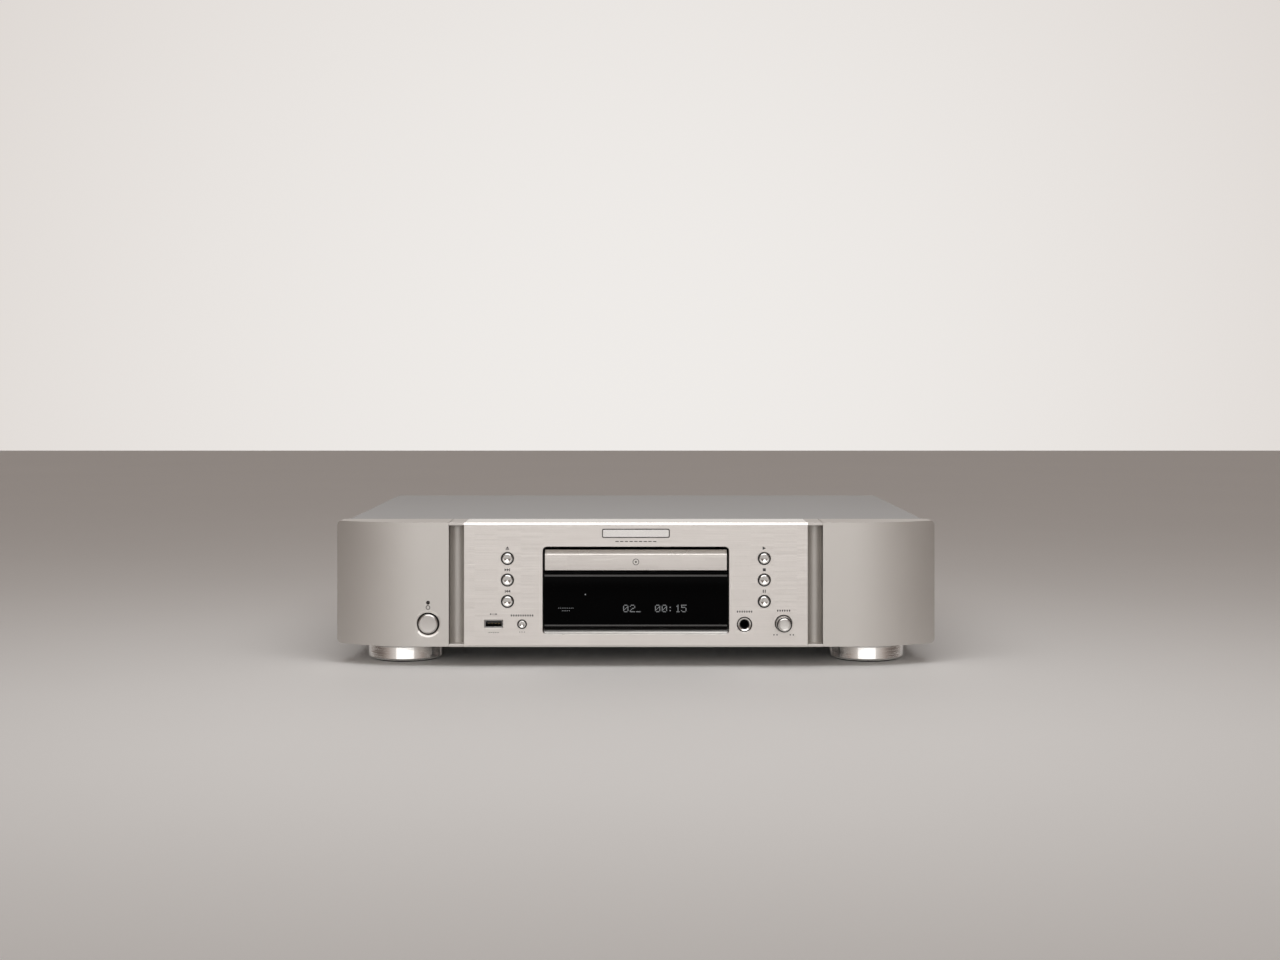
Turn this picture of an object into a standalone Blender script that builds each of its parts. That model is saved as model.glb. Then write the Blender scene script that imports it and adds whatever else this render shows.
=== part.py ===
"""A compact disc player: a silver front with curved wings, a loading tray and its mechanism.

Every place is given as (x, depth, z): x to the right of the middle, depth back from the face of
the front plate, z up from the surface that the player stands on. All sizes are in metres.
"""

import math

import bmesh
import bpy
from mathutils import Matrix, Vector

GAP = 0.0003  # left between pieces that touch
ROUND = 24  # sides of an ordinary round piece
BIG_ROUND = 36  # sides of a large round piece

# Case
CASE_WIDTH = 0.440
CASE_DEPTH = 0.321  # face of the front plate to the outside of the rear panel
CASE_TOP = 0.105
CASE_LOW = 0.015  # underside of the front unit
SHEET = 0.0015
CHASSIS_SHEET = 0.0012
COVER_INSET = 0.005  # the cover is this much narrower than the front, each side
KNOB_PROUD = 0.009
JACK_PROUD = 0.010
FACE_Y = KNOB_PROUD - (CASE_DEPTH + KNOB_PROUD + JACK_PROUD) / 2

# Disc and tray
DISC_DIAMETER = 0.120
WELL_RADIUS = DISC_DIAMETER / 2 + 0.0005
WELL_SINK = 0.0042
TRAY_RIM = 0.0035
TRAY_HALF = WELL_RADIUS + TRAY_RIM
TRAY_START = 0.008
TRAY_NOSE = 0.0115  # from the tray's front edge to the disc well
TRAY_TAIL = 0.0645  # from the disc well to the tray's back edge
SPINDLE_DEPTH = TRAY_START + TRAY_NOSE + WELL_RADIUS
TRAY_END = SPINDLE_DEPTH + WELL_RADIUS + TRAY_TAIL
TRAY_LOW = 0.0746
TRAY_HIGH = 0.0805
SLOT_HALF = 0.017

# Front opening, door and window
DOOR_HALF = TRAY_HALF + 0.0021
DOOR_LOW = 0.0701
DOOR_HIGH = 0.0852
DOOR_SUNK = 0.003
OPENING_HALF = DOOR_HALF + 0.0014
OPENING_LOW = 0.0244
OPENING_HIGH = 0.08765
OPENING_CORNER = 0.003
WINDOW_LOW = 0.0286
WINDOW_HIGH = 0.068
WINDOW_SUNK = 0.002
WINDOW_THICK = 0.003

# Front plate, grooves and wings
PLATE_THICK = 0.006
PLATE_HALF = OPENING_HALF + 0.0571
GROOVE_WIDTH = 0.0112
GROOVE_LIP = 0.002
UNIT_DEPTH = 0.0387  # back of the front unit
UNIT_WALL = 0.004
WING_START = PLATE_HALF + GROOVE_WIDTH
WING_FACE = 0.0025
WING_FLAT = 0.0192
WING_SWEEP = 0.021  # how far the wing falls back at its outer end
WING_CURVE_START = WING_START + WING_FLAT
WING_SPAN = CASE_WIDTH / 2 - WING_CURVE_START
WING_RADIUS = (WING_SPAN**2 + WING_SWEEP**2) / (2 * WING_SWEEP)
WING_POINTS = 12
WING_CORNER = 0.0035

# Controls
BUTTON_RADIUS = 0.00385
BUTTON_CLEARANCE = 0.00085
BUTTON_PROUD = 0.0006
BUTTON_TRAVEL = 0.0008
BUTTON_X = OPENING_HALF + 0.0255
BUTTON_HEIGHTS = (0.0791, 0.0635, 0.0480)
BUTTON_NAMES = {-1: ("eject", "next", "previous"), 1: ("play", "stop", "pause")}
INPUT_X = -(OPENING_HALF + 0.0149)
INPUT_HEIGHT = 0.0315
INPUT_RADIUS = 0.0026
FLANGE_LIP = 0.0016  # how much a button's flange is wider than its hole
FLANGE_THICK = 0.0014
STEM_RADIUS = 0.0015
SWITCH_FACE = 0.021  # depth of the small switches' faces
BOARD_FACE = 0.024
BOARD_THICK = 0.0016
KNOB_X = OPENING_HALF + 0.0395
KNOB_HEIGHT = 0.0321
KNOB_RADIUS = 0.0056
KNOB_CLEARANCE = 0.00065
SHAFT_RADIUS = 0.003
POWER_X = -(WING_START + 0.015)
POWER_HEIGHT = 0.0315
POWER_RADIUS = 0.007
POWER_CLEARANCE = 0.00125
POWER_DISH = 0.010  # radius of the dish round the power button
POWER_TRAVEL = 0.0025
LAMP_HEIGHT = 0.0469
LAMP_RADIUS = 0.0011
JACK_X = OPENING_HALF + 0.0112
JACK_HEIGHT = 0.0314
JACK_RADIUS = 0.0053
JACK_BORE = 0.0033
USB_X = -(OPENING_HALF + 0.0355)
USB_HEIGHT = 0.0318
USB_WIDTH = 0.0133
USB_TALL = 0.0057

# Feet
FOOT_RADIUS = 0.028
FOOT_LOW = 0.0010
FOOT_TOP = CASE_LOW - GAP  # clear of the front unit, which the front feet reach under
FOOT_INSET = 0.0472  # from the side of the case to the middle of a foot
FOOT_FRONT = 0.0535  # from the face to the middle of a front foot
FOOT_BACK = 0.036  # from the rear panel to the middle of a rear foot
PAD_RADIUS = 0.024

# Loading mechanism
LOADER_WALL = 0.0035
LOADER_INNER = TRAY_HALF + 0.0015
LOADER_OUTER = LOADER_INNER + LOADER_WALL
LOADER_START = 0.030
LOADER_END = SPINDLE_DEPTH + 0.110
LOADER_LOW = 0.058
LOADER_HIGH = 0.0862
SHELF_LOW = 0.0642
SHELF_HIGH = 0.0666
RAIL_INNER = TRAY_HALF - 0.003
GEAR_MODULE = 0.0015
GEAR_LOW = 0.0706
GEAR_HIGH = 0.0743
DRIVE_TEETH = 16
PINION_TEETH = 10
DRIVE_RADIUS = GEAR_MODULE * DRIVE_TEETH / 2
PINION_RADIUS = GEAR_MODULE * PINION_TEETH / 2
TRAIN_DEPTH = 0.046
RACK_LINE = -(TRAY_HALF - 0.008)
RACK_BACK = 0.0045  # pitch line to the back of the rack
RACK_START = 0.030
DRIVE_X = RACK_LINE + DRIVE_RADIUS
PULLEY_X = DRIVE_X + DRIVE_RADIUS + PINION_RADIUS
PULLEY_RADIUS = 0.012
MOTOR_PULLEY_RADIUS = 0.004
MOTOR_X = PULLEY_X + 0.0345
PULLEY_LOW = SHELF_HIGH + GAP
PULLEY_HIGH = 0.0699
BELT_THICK = 0.0012
LOADING_MOTOR_RADIUS = 0.012

# Clamp
BRIDGE_HALF = 0.018
BRIDGE_THICK = 0.0018
BRIDGE_HOLE = 0.012
PUCK_NECK = 0.011
PUCK_FLANGE = 0.016
PUCK_LOW = 0.0814

# Traverse
TRAVERSE_LOW = 0.062
TRAVERSE_HIGH = 0.066
TRAVERSE_HALF = 0.035
TRAVERSE_START = SPINDLE_DEPTH - 0.014
HINGE_DEPTH = SPINDLE_DEPTH + 0.096
HINGE_HEIGHT = (TRAVERSE_LOW + TRAVERSE_HIGH) / 2
SLED_WINDOW_HALF = 0.028
SLED_WINDOW_START = SPINDLE_DEPTH + 0.0135
SLED_WINDOW_END = SPINDLE_DEPTH + 0.090
TURNTABLE_RADIUS = 0.0145
SEAT_HEIGHT = 0.0778
LENS_DEPTH = SPINDLE_DEPTH + 0.024  # with the pickup at the innermost track
LENS_RADIUS = 0.0035
SLED_HALF = 0.013
SLED_LOW = 0.061
SLED_HIGH = 0.069
FEED_MODULE = 0.0008
FEED_PINION_TEETH = 10
FEED_WHEEL_TEETH = 24
SLED_PINION_TEETH = 8
FEED_RACK_LINE = -0.017
FEED_X = FEED_RACK_LINE - FEED_MODULE * FEED_PINION_TEETH / 2
FEED_DEPTH = SPINDLE_DEPTH + 0.050
SLED_MOTOR_X = FEED_X - FEED_MODULE * (FEED_WHEEL_TEETH + SLED_PINION_TEETH) / 2
ROD_X = 0.020
ROD_RADIUS = 0.0015
CAM_FACE = TRAVERSE_START - 0.0055
CAM_THICK = 0.0025
SHELF_END = CAM_FACE - 0.001
CAM_SHIFT = 0.020
TRAVERSE_TILT = math.radians(5)
PEG_RADIUS = 0.002
PEG_X = 0.0

# Electronics and the rear
BOARD_LEFT = LOADER_OUTER + 0.004
BOARD_START = 0.110
BOARD_LOW = 0.024
TRANSFORMER_RADIUS = 0.045
TRANSFORMER_HOLE = 0.010
JACK_BARREL = 0.00415
RCA_X = 0.170
COAX_X = 0.120
OPTICAL_X = 0.095
REMOTE_X = 0.060
JACK_ROW = 0.040
JACK_PITCH = 0.018
INLET_X = -0.180
INLET_HEIGHT = 0.045

COLLECTION = "cd_player"
CUTTERS = "cd_player_cutters"

# Finish: colour, roughness, metallic
SILVER = ((0.62, 0.60, 0.57), 0.35, 1.0)
CHROME = ((0.75, 0.75, 0.74), 0.12, 1.0)
STEEL = ((0.45, 0.46, 0.48), 0.40, 1.0)
PAINT = ((0.33, 0.34, 0.35), 0.45, 0.6)
BLACK_GLOSS = ((0.01, 0.01, 0.012), 0.08, 0.0)
BLACK_PLASTIC = ((0.02, 0.02, 0.022), 0.5, 0.0)
WHITE_PLASTIC = ((0.70, 0.70, 0.66), 0.5, 0.0)
RUBBER = ((0.015, 0.015, 0.015), 0.85, 0.0)
BOARD_GREEN = ((0.03, 0.12, 0.05), 0.5, 0.0)
COPPER = ((0.55, 0.28, 0.12), 0.35, 1.0)
GLASS = ((0.25, 0.22, 0.35), 0.05, 0.0)
LAMP = ((0.60, 0.05, 0.04), 0.25, 0.0)


# ---- Making objects -----------------------------------------------------------------------


def world(x, depth, z):
    """The place in the scene of a point given as (x, depth, z)."""
    return Vector((x, FACE_Y + depth, z))


def add_object(name, data, place, turn=None):
    """Link a new object that holds the mesh, or an empty when data is None."""
    item = bpy.data.objects.new(name, data)
    bpy.data.collections[COLLECTION].objects.link(item)
    matrix = Matrix.Translation(place)
    item.matrix_world = matrix @ turn if turn else matrix
    return item


def finish_mesh(name, shape):
    """Turn a bmesh into a mesh, smooth on its round sides."""
    mesh = bpy.data.meshes.new(name)
    shape.to_mesh(mesh)
    shape.free()
    mesh.shade_smooth()
    mesh.set_sharp_from_angle(angle=math.radians(35))
    return mesh


def block(name, low, high):
    """A box between two corners, its origin in its middle."""
    size = Vector(high) - Vector(low)
    shape = bmesh.new()
    bmesh.ops.create_cube(shape, size=1.0)
    bmesh.ops.scale(shape, vec=size, verts=shape.verts)
    return add_object(name, finish_mesh(name, shape), world(*(Vector(low) + size / 2)))


def rod(name, start, end, radius, sides=ROUND):
    """A cylinder from one point to another, its origin in its middle."""
    along = Vector(end) - Vector(start)
    shape = bmesh.new()
    bmesh.ops.create_cone(
        shape, cap_ends=True, segments=sides, radius1=radius, radius2=radius, depth=along.length
    )
    turn = Vector((0, 0, 1)).rotation_difference(along).to_matrix().to_4x4()
    return add_object(name, finish_mesh(name, shape), world(*(Vector(start) + along / 2)), turn)


FACING = {
    "Z": Matrix.Identity(4),
    "Y": Matrix.Rotation(math.radians(90), 4, "X"),
    "X": Matrix(((0, 0, 1, 0), (1, 0, 0, 0), (0, 1, 0, 0), (0, 0, 0, 1))),
}


def turned(name, profile, centre, axis="Z", sides=ROUND):
    """A turned piece. The profile runs from the top, or from the front on axis Y, as (reach,
    radius) where reach is the height, or the depth, of that point."""
    origin = centre[2] if axis == "Z" else centre[1]
    upward = 1 if axis == "Z" else -1
    shape = bmesh.new()
    points = [shape.verts.new((radius, 0, upward * (reach - origin))) for reach, radius in profile]
    for first, second in zip(points, points[1:]):
        shape.edges.new((first, second))
    mesh = bpy.data.meshes.new(name)
    shape.to_mesh(mesh)
    shape.free()
    item = add_object(name, mesh, world(*centre), FACING[axis])
    screw = item.modifiers.new("turned", "SCREW")
    screw.steps = screw.render_steps = sides
    screw.use_merge_vertices = True
    screw.merge_threshold = 0.00001
    return item


def slab(name, outlines, axis, low, high):
    """A flat piece of constant thickness. Its first outline is its edge and the others are its
    holes: (x, depth) on axis Z, (x, z) on axis Y, (depth, z) on axis X."""
    curve = bpy.data.curves.new(name, "CURVE")
    curve.dimensions = "2D"
    curve.fill_mode = "BOTH"
    curve.extrude = (high - low) / 2
    for outline in outlines:
        spline = curve.splines.new("POLY")
        spline.points.add(len(outline) - 1)
        for point, (across, up) in zip(spline.points, outline):
            point.co = (across, up, 0, 1)
        spline.use_cyclic_u = True
    middle = (low + high) / 2
    place = {"Z": (0, 0, middle), "Y": (0, middle, 0), "X": (middle, 0, 0)}[axis]
    guide = bpy.data.objects.new(name + "_outline", curve)
    mesh = bpy.data.meshes.new_from_object(guide)
    bpy.data.objects.remove(guide)
    shape = bmesh.new()
    shape.from_mesh(mesh)
    bpy.data.meshes.remove(mesh)
    bmesh.ops.remove_doubles(shape, verts=shape.verts, dist=0.00001)
    bmesh.ops.recalc_face_normals(shape, faces=shape.faces)
    return add_object(name, finish_mesh(name, shape), world(*place), FACING[axis])


def helper(item):
    """Keep a piece that only cuts or joins another out of the model."""
    bpy.data.collections[COLLECTION].objects.unlink(item)
    bpy.data.collections[CUTTERS].objects.link(item)
    item.hide_render = True
    item.display_type = "WIRE"


def combine(body, operation, pieces):
    for piece in pieces:
        helper(piece)
        step = body.modifiers.new(piece.name, "BOOLEAN")
        step.operation = operation
        step.solver = "EXACT"
        step.object = piece


def cut(body, *pieces):
    combine(body, "DIFFERENCE", pieces)


def join(body, *pieces):
    combine(body, "UNION", pieces)


def paint(finish, *items):
    """Give each piece its own material."""
    colour, roughness, metallic = finish
    for item in items:
        material = bpy.data.materials.new(item.name)
        material.use_nodes = True
        shader = material.node_tree.nodes["Principled BSDF"]
        shader.inputs["Base Color"].default_value = (*colour, 1)
        shader.inputs["Roughness"].default_value = roughness
        shader.inputs["Metallic"].default_value = metallic
        item.data.materials.append(material)


def carry(name, place, *items):
    """Parent pieces that move together to an empty on their joint's axis."""
    empty = add_object(name, None, world(*place))
    for item in items:
        item.parent = empty
        item.matrix_parent_inverse = Matrix.Translation(world(*place)).inverted()
    return empty


# ---- Outlines -----------------------------------------------------------------------------


def rectangle(left, right, low, high):
    return [(left, low), (right, low), (right, high), (left, high)]


def arc(x, y, radius, start, end, steps):
    """Points along an arc, its angles in degrees."""
    turns = [math.radians(start + (end - start) * step / steps) for step in range(steps + 1)]
    return [(x + radius * math.cos(turn), y + radius * math.sin(turn)) for turn in turns]


def circle(x, y, radius, sides=ROUND):
    return arc(x, y, radius, 0, 360, sides)[:-1]


def rounded(left, right, low, high, radius, steps=4):
    """A rectangle with round corners."""
    points = []
    corners = ((right, low, -90), (right, high, 0), (left, high, 90), (left, low, 180))
    for x, y, start in corners:
        middle_x = x - math.copysign(radius, x - (left + right) / 2)
        middle_y = y - math.copysign(radius, y - (low + high) / 2)
        points += arc(middle_x, middle_y, radius, start, start + 90, steps)
    return points


ADDENDUM = 0.7
DEDENDUM = 1.15
BACKLASH = 0.25


def gear(module, teeth, first_tooth, x, depth):
    """The outline of a spur gear whose first tooth points along the angle first_tooth."""
    pitch_radius = module * teeth / 2
    half = module * (math.pi / 2 - BACKLASH) / 2
    corners = ((-DEDENDUM, 0.10), (0, 0), (ADDENDUM, -0.33))
    sides = [(-1, reach, more) for reach, more in corners]
    sides += [(1, reach, more) for reach, more in reversed(corners)]
    points = []
    for tooth in range(teeth):
        middle = math.radians(first_tooth) + math.tau * tooth / teeth
        for side, reach, more in sides:
            radius = pitch_radius + module * reach
            turn = middle + side * (half + module * more) / radius
            points.append((x + radius * math.cos(turn), depth + radius * math.sin(turn)))
    return points


def rack(module, line, back, start, end, gap_at):
    """The outline of a rack along the depth. Its teeth stand out from the pitch line on the side
    away from back, and one of its gaps is centred at the depth gap_at."""
    pitch = math.pi * module
    half = module * (math.pi / 2 - BACKLASH) / 2
    slope = math.tan(math.radians(20))
    out = math.copysign(module, line - back)
    first = math.ceil((start - gap_at) / pitch)
    last = math.floor((end - gap_at) / pitch)
    points = [(back, end), (back, start), (line - DEDENDUM * out, start)]
    for tooth in range(first, last):
        middle = gap_at + (tooth + 0.5) * pitch
        root = half + DEDENDUM * module * slope
        tip = half - ADDENDUM * module * slope
        points.append((line - DEDENDUM * out, middle - root))
        points.append((line + ADDENDUM * out, middle - tip))
        points.append((line + ADDENDUM * out, middle + tip))
        points.append((line - DEDENDUM * out, middle + root))
    points.append((line - DEDENDUM * out, end))
    return points


# ---- Front --------------------------------------------------------------------------------


def button_places():
    """Name, x and height of each transport button."""
    for side, names in BUTTON_NAMES.items():
        for name, height in zip(names, BUTTON_HEIGHTS):
            yield name + "_button", side * BUTTON_X, height


def front_plate():
    holes = [rounded(-OPENING_HALF, OPENING_HALF, OPENING_LOW, OPENING_HIGH, OPENING_CORNER)]
    for _, x, height in button_places():
        holes.append(circle(x, height, BUTTON_RADIUS + BUTTON_CLEARANCE))
    holes.append(circle(INPUT_X, INPUT_HEIGHT, INPUT_RADIUS + BUTTON_CLEARANCE))
    holes.append(circle(KNOB_X, KNOB_HEIGHT, KNOB_RADIUS + KNOB_CLEARANCE))
    holes.append(circle(JACK_X, JACK_HEIGHT, JACK_RADIUS + GAP))
    usb_half, usb_tall = USB_WIDTH / 2, USB_TALL / 2
    low, high = USB_HEIGHT - usb_tall, USB_HEIGHT + usb_tall
    holes.append(rectangle(USB_X - usb_half, USB_X + usb_half, low, high))
    edge = rectangle(-PLATE_HALF, PLATE_HALF, CASE_LOW, CASE_TOP)
    plate = slab("front_plate", [edge, *holes], "Y", 0, PLATE_THICK)
    paint(SILVER, plate)


def front_frame():
    """The box behind the plate, with a round groove down each side and a sloping sill."""
    front = PLATE_THICK + GAP
    radius, half = GROOVE_WIDTH / 2, WING_START - GAP
    near = PLATE_HALF + GAP
    right = [(near, front), (near, WING_FACE), (half, WING_FACE), (half, UNIT_DEPTH)]
    left = [(-x, depth) for x, depth in reversed(right)]
    frame = slab("front_frame", [left + right], "Z", CASE_LOW, CASE_TOP)
    inner = PLATE_HALF - UNIT_WALL
    room_low, room_high = CASE_LOW + UNIT_WALL, CASE_TOP - UNIT_WALL
    cut(frame, block("frame_room", (-inner, -0.01, room_low), (inner, UNIT_DEPTH + 0.01, room_high)))
    for side in (-1, 1):
        middle = side * (PLATE_HALF + radius)
        hollow = [(middle - radius, -0.01), *arc(middle, front, radius, 180, 0, 12)]
        hollow.append((middle + radius, -0.01))
        cut(frame, slab("groove", [hollow], "Z", CASE_LOW + GROOVE_LIP, CASE_TOP - GROOVE_LIP))
    sill_half = OPENING_HALF - OPENING_CORNER * 0.7
    sill_low, sill_top = OPENING_LOW + GAP, WINDOW_LOW - GAP
    foot, step, back = CASE_LOW + 0.002, front + 0.0004, front + 0.002
    sill = [(0.001, sill_low), (step, sill_low), (step, foot), (back, foot)]
    sill += [(back, sill_top), (front - 0.001, sill_top)]
    join(frame, slab("sill", [sill], "X", -sill_half, sill_half))
    paint(SILVER, frame)


def wing_face(x, wall=0.0):
    """Depth of a wing's face, or of the back of its wall, at x from the middle of the case."""
    across = max(0.0, x - WING_CURVE_START)
    return WING_FACE + wall + WING_RADIUS - math.sqrt(WING_RADIUS**2 - across**2)


def wing_outline(start, end, back, wall=0.0):
    points = [(start, back), (start, wing_face(start, wall))]
    for step in range(WING_POINTS + 1):
        x = WING_CURVE_START + (end - WING_CURVE_START) * step / WING_POINTS
        points.append((x, wing_face(x, wall)))
    return points + [(end, back)]


def wing_corner(outer, side, height, upward):
    """What rounds off one outer corner of a wing."""
    near, past = WING_CORNER, 0.002
    middle_x, middle_z = outer - near, height - upward * near
    turn = arc(middle_x, middle_z, near, 0, upward * 90, 5)
    notch = [(outer + past, middle_z), *turn, (middle_x, height + upward * past)]
    notch.append((outer + past, height + upward * past))
    outline = [(side * x, z) for x, z in notch]
    return slab("wing_corner", [outline], "Y", -past, UNIT_DEPTH + past)


def wing(name, side):
    outer = CASE_WIDTH / 2
    shell = [(side * x, depth) for x, depth in wing_outline(WING_START, outer, UNIT_DEPTH)]
    inside = wing_outline(WING_START + UNIT_WALL, outer - UNIT_WALL, UNIT_DEPTH + 0.01, UNIT_WALL)
    room = [(side * x, depth) for x, depth in inside]
    panel = slab(name, [shell], "Z", CASE_LOW, CASE_TOP)
    cut(panel, slab(name + "_room", [room], "Z", CASE_LOW + UNIT_WALL, CASE_TOP - UNIT_WALL))
    for height, upward in ((CASE_LOW, -1), (CASE_TOP, 1)):
        cut(panel, wing_corner(outer, side, height, upward))
    paint(SILVER, panel)
    return panel


def power_controls(panel):
    """The power button in its dish, the switch behind it and the lamp above it."""
    hole = POWER_RADIUS + POWER_CLEARANCE
    centre = (POWER_X, WING_FACE, POWER_HEIGHT)
    dish = [(-0.005, 0), (-0.005, POWER_DISH + 0.005), (WING_FACE, POWER_DISH)]
    dish += [(WING_FACE + POWER_DISH - hole, hole), (0.020, hole), (0.020, 0)]
    lamp_hole = LAMP_RADIUS + GAP
    lamp_front, lamp_back = (POWER_X, -0.005, LAMP_HEIGHT), (POWER_X, 0.012, LAMP_HEIGHT)
    cut(panel, turned("dish", dish, centre, "Y"), rod("lamp_hole", lamp_front, lamp_back, lamp_hole, 12))
    lamp_start = (POWER_X, WING_FACE - 0.0005, LAMP_HEIGHT)
    lamp = rod("power_lamp", lamp_start, (POWER_X, 0.010, LAMP_HEIGHT), LAMP_RADIUS, 12)
    rear = SWITCH_FACE - POWER_TRAVEL - GAP
    cap = [(0.0012, 0), (0.0010, POWER_RADIUS - 0.001), (0.0020, POWER_RADIUS)]
    cap += [(0.010, POWER_RADIUS), (0.010, SHAFT_RADIUS), (rear, SHAFT_RADIUS), (rear, 0)]
    button = turned("power_button", cap, centre, "Y")
    near = (POWER_X - 0.007, SWITCH_FACE, POWER_HEIGHT - 0.006)
    far = (POWER_X + 0.007, UNIT_DEPTH - 0.0005, POWER_HEIGHT + 0.006)
    switch = block("power_switch", near, far)
    paint(LAMP, lamp)
    paint(SILVER, button)
    paint(BLACK_PLASTIC, switch)


def push_button(name, x, height, radius):
    """A cap in the plate, a flange behind it and a stem to the small switch."""
    flange = radius + BUTTON_CLEARANCE + FLANGE_LIP
    flange_front = PLATE_THICK + GAP
    flange_back = flange_front + FLANGE_THICK
    stem_end = SWITCH_FACE - BUTTON_TRAVEL - GAP
    profile = [(-BUTTON_PROUD, 0), (-BUTTON_PROUD, radius - 0.0004), (0.0004 - BUTTON_PROUD, radius)]
    profile += [(flange_front, radius), (flange_front, flange), (flange_back, flange)]
    profile += [(flange_back, STEM_RADIUS), (stem_end, STEM_RADIUS), (stem_end, 0)]
    paint(SILVER, turned(name, profile, (x, 0, height), "Y"))


def front_board():
    """The board behind the plate, cut away for the tray and the headphone socket."""
    low, high, middle_top = CASE_LOW + 0.0055, CASE_TOP - 0.010, SHELF_LOW - 0.001
    half, inner = PLATE_HALF - UNIT_WALL - 0.0026, LOADER_OUTER + 0.003
    notch_left, notch_right, notch_top = JACK_X - 0.0078, JACK_X + 0.0078, JACK_HEIGHT + 0.0078
    edge = [(-half, low), (notch_left, low), (notch_left, notch_top), (notch_right, notch_top)]
    edge += [(notch_right, low), (half, low), (half, high), (inner, high), (inner, middle_top)]
    edge += [(-inner, middle_top), (-inner, high), (-half, high)]
    board = slab("front_board", [edge], "Y", BOARD_FACE, BOARD_FACE + BOARD_THICK)
    switches = [(x, height) for _, x, height in button_places()] + [(INPUT_X, INPUT_HEIGHT)]
    for x, height in switches:
        near = (x - 0.003, SWITCH_FACE, height - 0.003)
        far = (x + 0.003, BOARD_FACE + BOARD_THICK / 2, height + 0.003)
        join(board, block("tact_switch", near, far))
    paint(BOARD_GREEN, board)


def level_control():
    """The headphone level knob and the control that it turns."""
    body_front, body_back = PLATE_THICK + 0.004, BOARD_FACE - GAP
    shaft_end = 0.004 - KNOB_PROUD
    body = [(shaft_end, 0), (shaft_end, SHAFT_RADIUS), (body_front, SHAFT_RADIUS)]
    body += [(body_front, 0.008), (body_back, 0.008), (body_back, 0)]
    control = turned("level_control", body, (KNOB_X, body_front, KNOB_HEIGHT), "Y")
    bore = SHAFT_RADIUS + GAP
    skirt = PLATE_THICK + 0.002
    knob = [(0.0004 - KNOB_PROUD, 0), (-KNOB_PROUD, KNOB_RADIUS - 0.0008)]
    knob += [(0.0008 - KNOB_PROUD, KNOB_RADIUS), (skirt, KNOB_RADIUS), (skirt, bore)]
    knob += [(shaft_end - GAP, bore), (shaft_end - GAP, 0)]
    paint(STEEL, control)
    paint(SILVER, turned("level_knob", knob, (KNOB_X, 0, KNOB_HEIGHT), "Y"))


def headphone_jack():
    """A round socket with a nut in the plate and a square body behind it."""
    front, shoulder, back = GAP, PLATE_THICK + 0.0006, 0.035
    half = 0.007
    low, high = (JACK_X - half, shoulder, JACK_HEIGHT - half), (JACK_X + half, back, JACK_HEIGHT + half)
    jack = block("headphone_jack", low, high)
    neck_end = (JACK_X, shoulder + 0.001, JACK_HEIGHT)
    join(jack, rod("jack_neck", (JACK_X, front, JACK_HEIGHT), neck_end, JACK_RADIUS))
    bore_start, bore_end = (JACK_X, -0.002, JACK_HEIGHT), (JACK_X, back - 0.003, JACK_HEIGHT)
    cut(jack, rod("jack_bore", bore_start, bore_end, JACK_BORE, 16))
    paint(STEEL, jack)


def usb_socket():
    """A flat shell with a tongue in it."""
    half, tall, wall = USB_WIDTH / 2 - GAP, USB_TALL / 2 - GAP, 0.0004
    front, back = 0.0006, 0.0186
    low, high = (USB_X - half, front, USB_HEIGHT - tall), (USB_X + half, back, USB_HEIGHT + tall)
    shell = block("usb_socket", low, high)
    left, right = USB_X - half + wall, USB_X + half - wall
    floor, roof = USB_HEIGHT - tall + wall, USB_HEIGHT + tall - wall
    cut(shell, block("usb_room", (left, -0.002, floor), (right, back - 0.003, roof)))
    tongue_left, tongue_right = left + 0.0004, right - 0.0004
    tongue_low, tongue_high = USB_HEIGHT + 0.0001, USB_HEIGHT + 0.0018
    join(shell, block("tongue", (tongue_left, 0.003, tongue_low), (tongue_right, back - 0.001, tongue_high)))
    paint(STEEL, shell)


def display():
    """The black window and the display module behind it."""
    half = OPENING_HALF - 0.0005
    back = WINDOW_SUNK + WINDOW_THICK
    window = block("display_window", (-half, WINDOW_SUNK, WINDOW_LOW), (half, back, WINDOW_HIGH))
    glass_half, holder_half = half - 0.022, half - 0.017
    module = block("display_module", (-glass_half, 0.009, 0.033), (glass_half, 0.017, 0.062))
    join(module, block("display_holder", (-holder_half, 0.016, 0.032), (holder_half, 0.022, 0.0635)))
    paint(BLACK_GLOSS, window)
    paint(GLASS, module)


def badge():
    outline = rounded(-0.0245, 0.0245, 0.0942, 0.1007, 0.001, 3)
    paint(CHROME, slab("badge", [outline], "Y", -GAP - 0.0006, -GAP))


# ---- Case ---------------------------------------------------------------------------------


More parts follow.
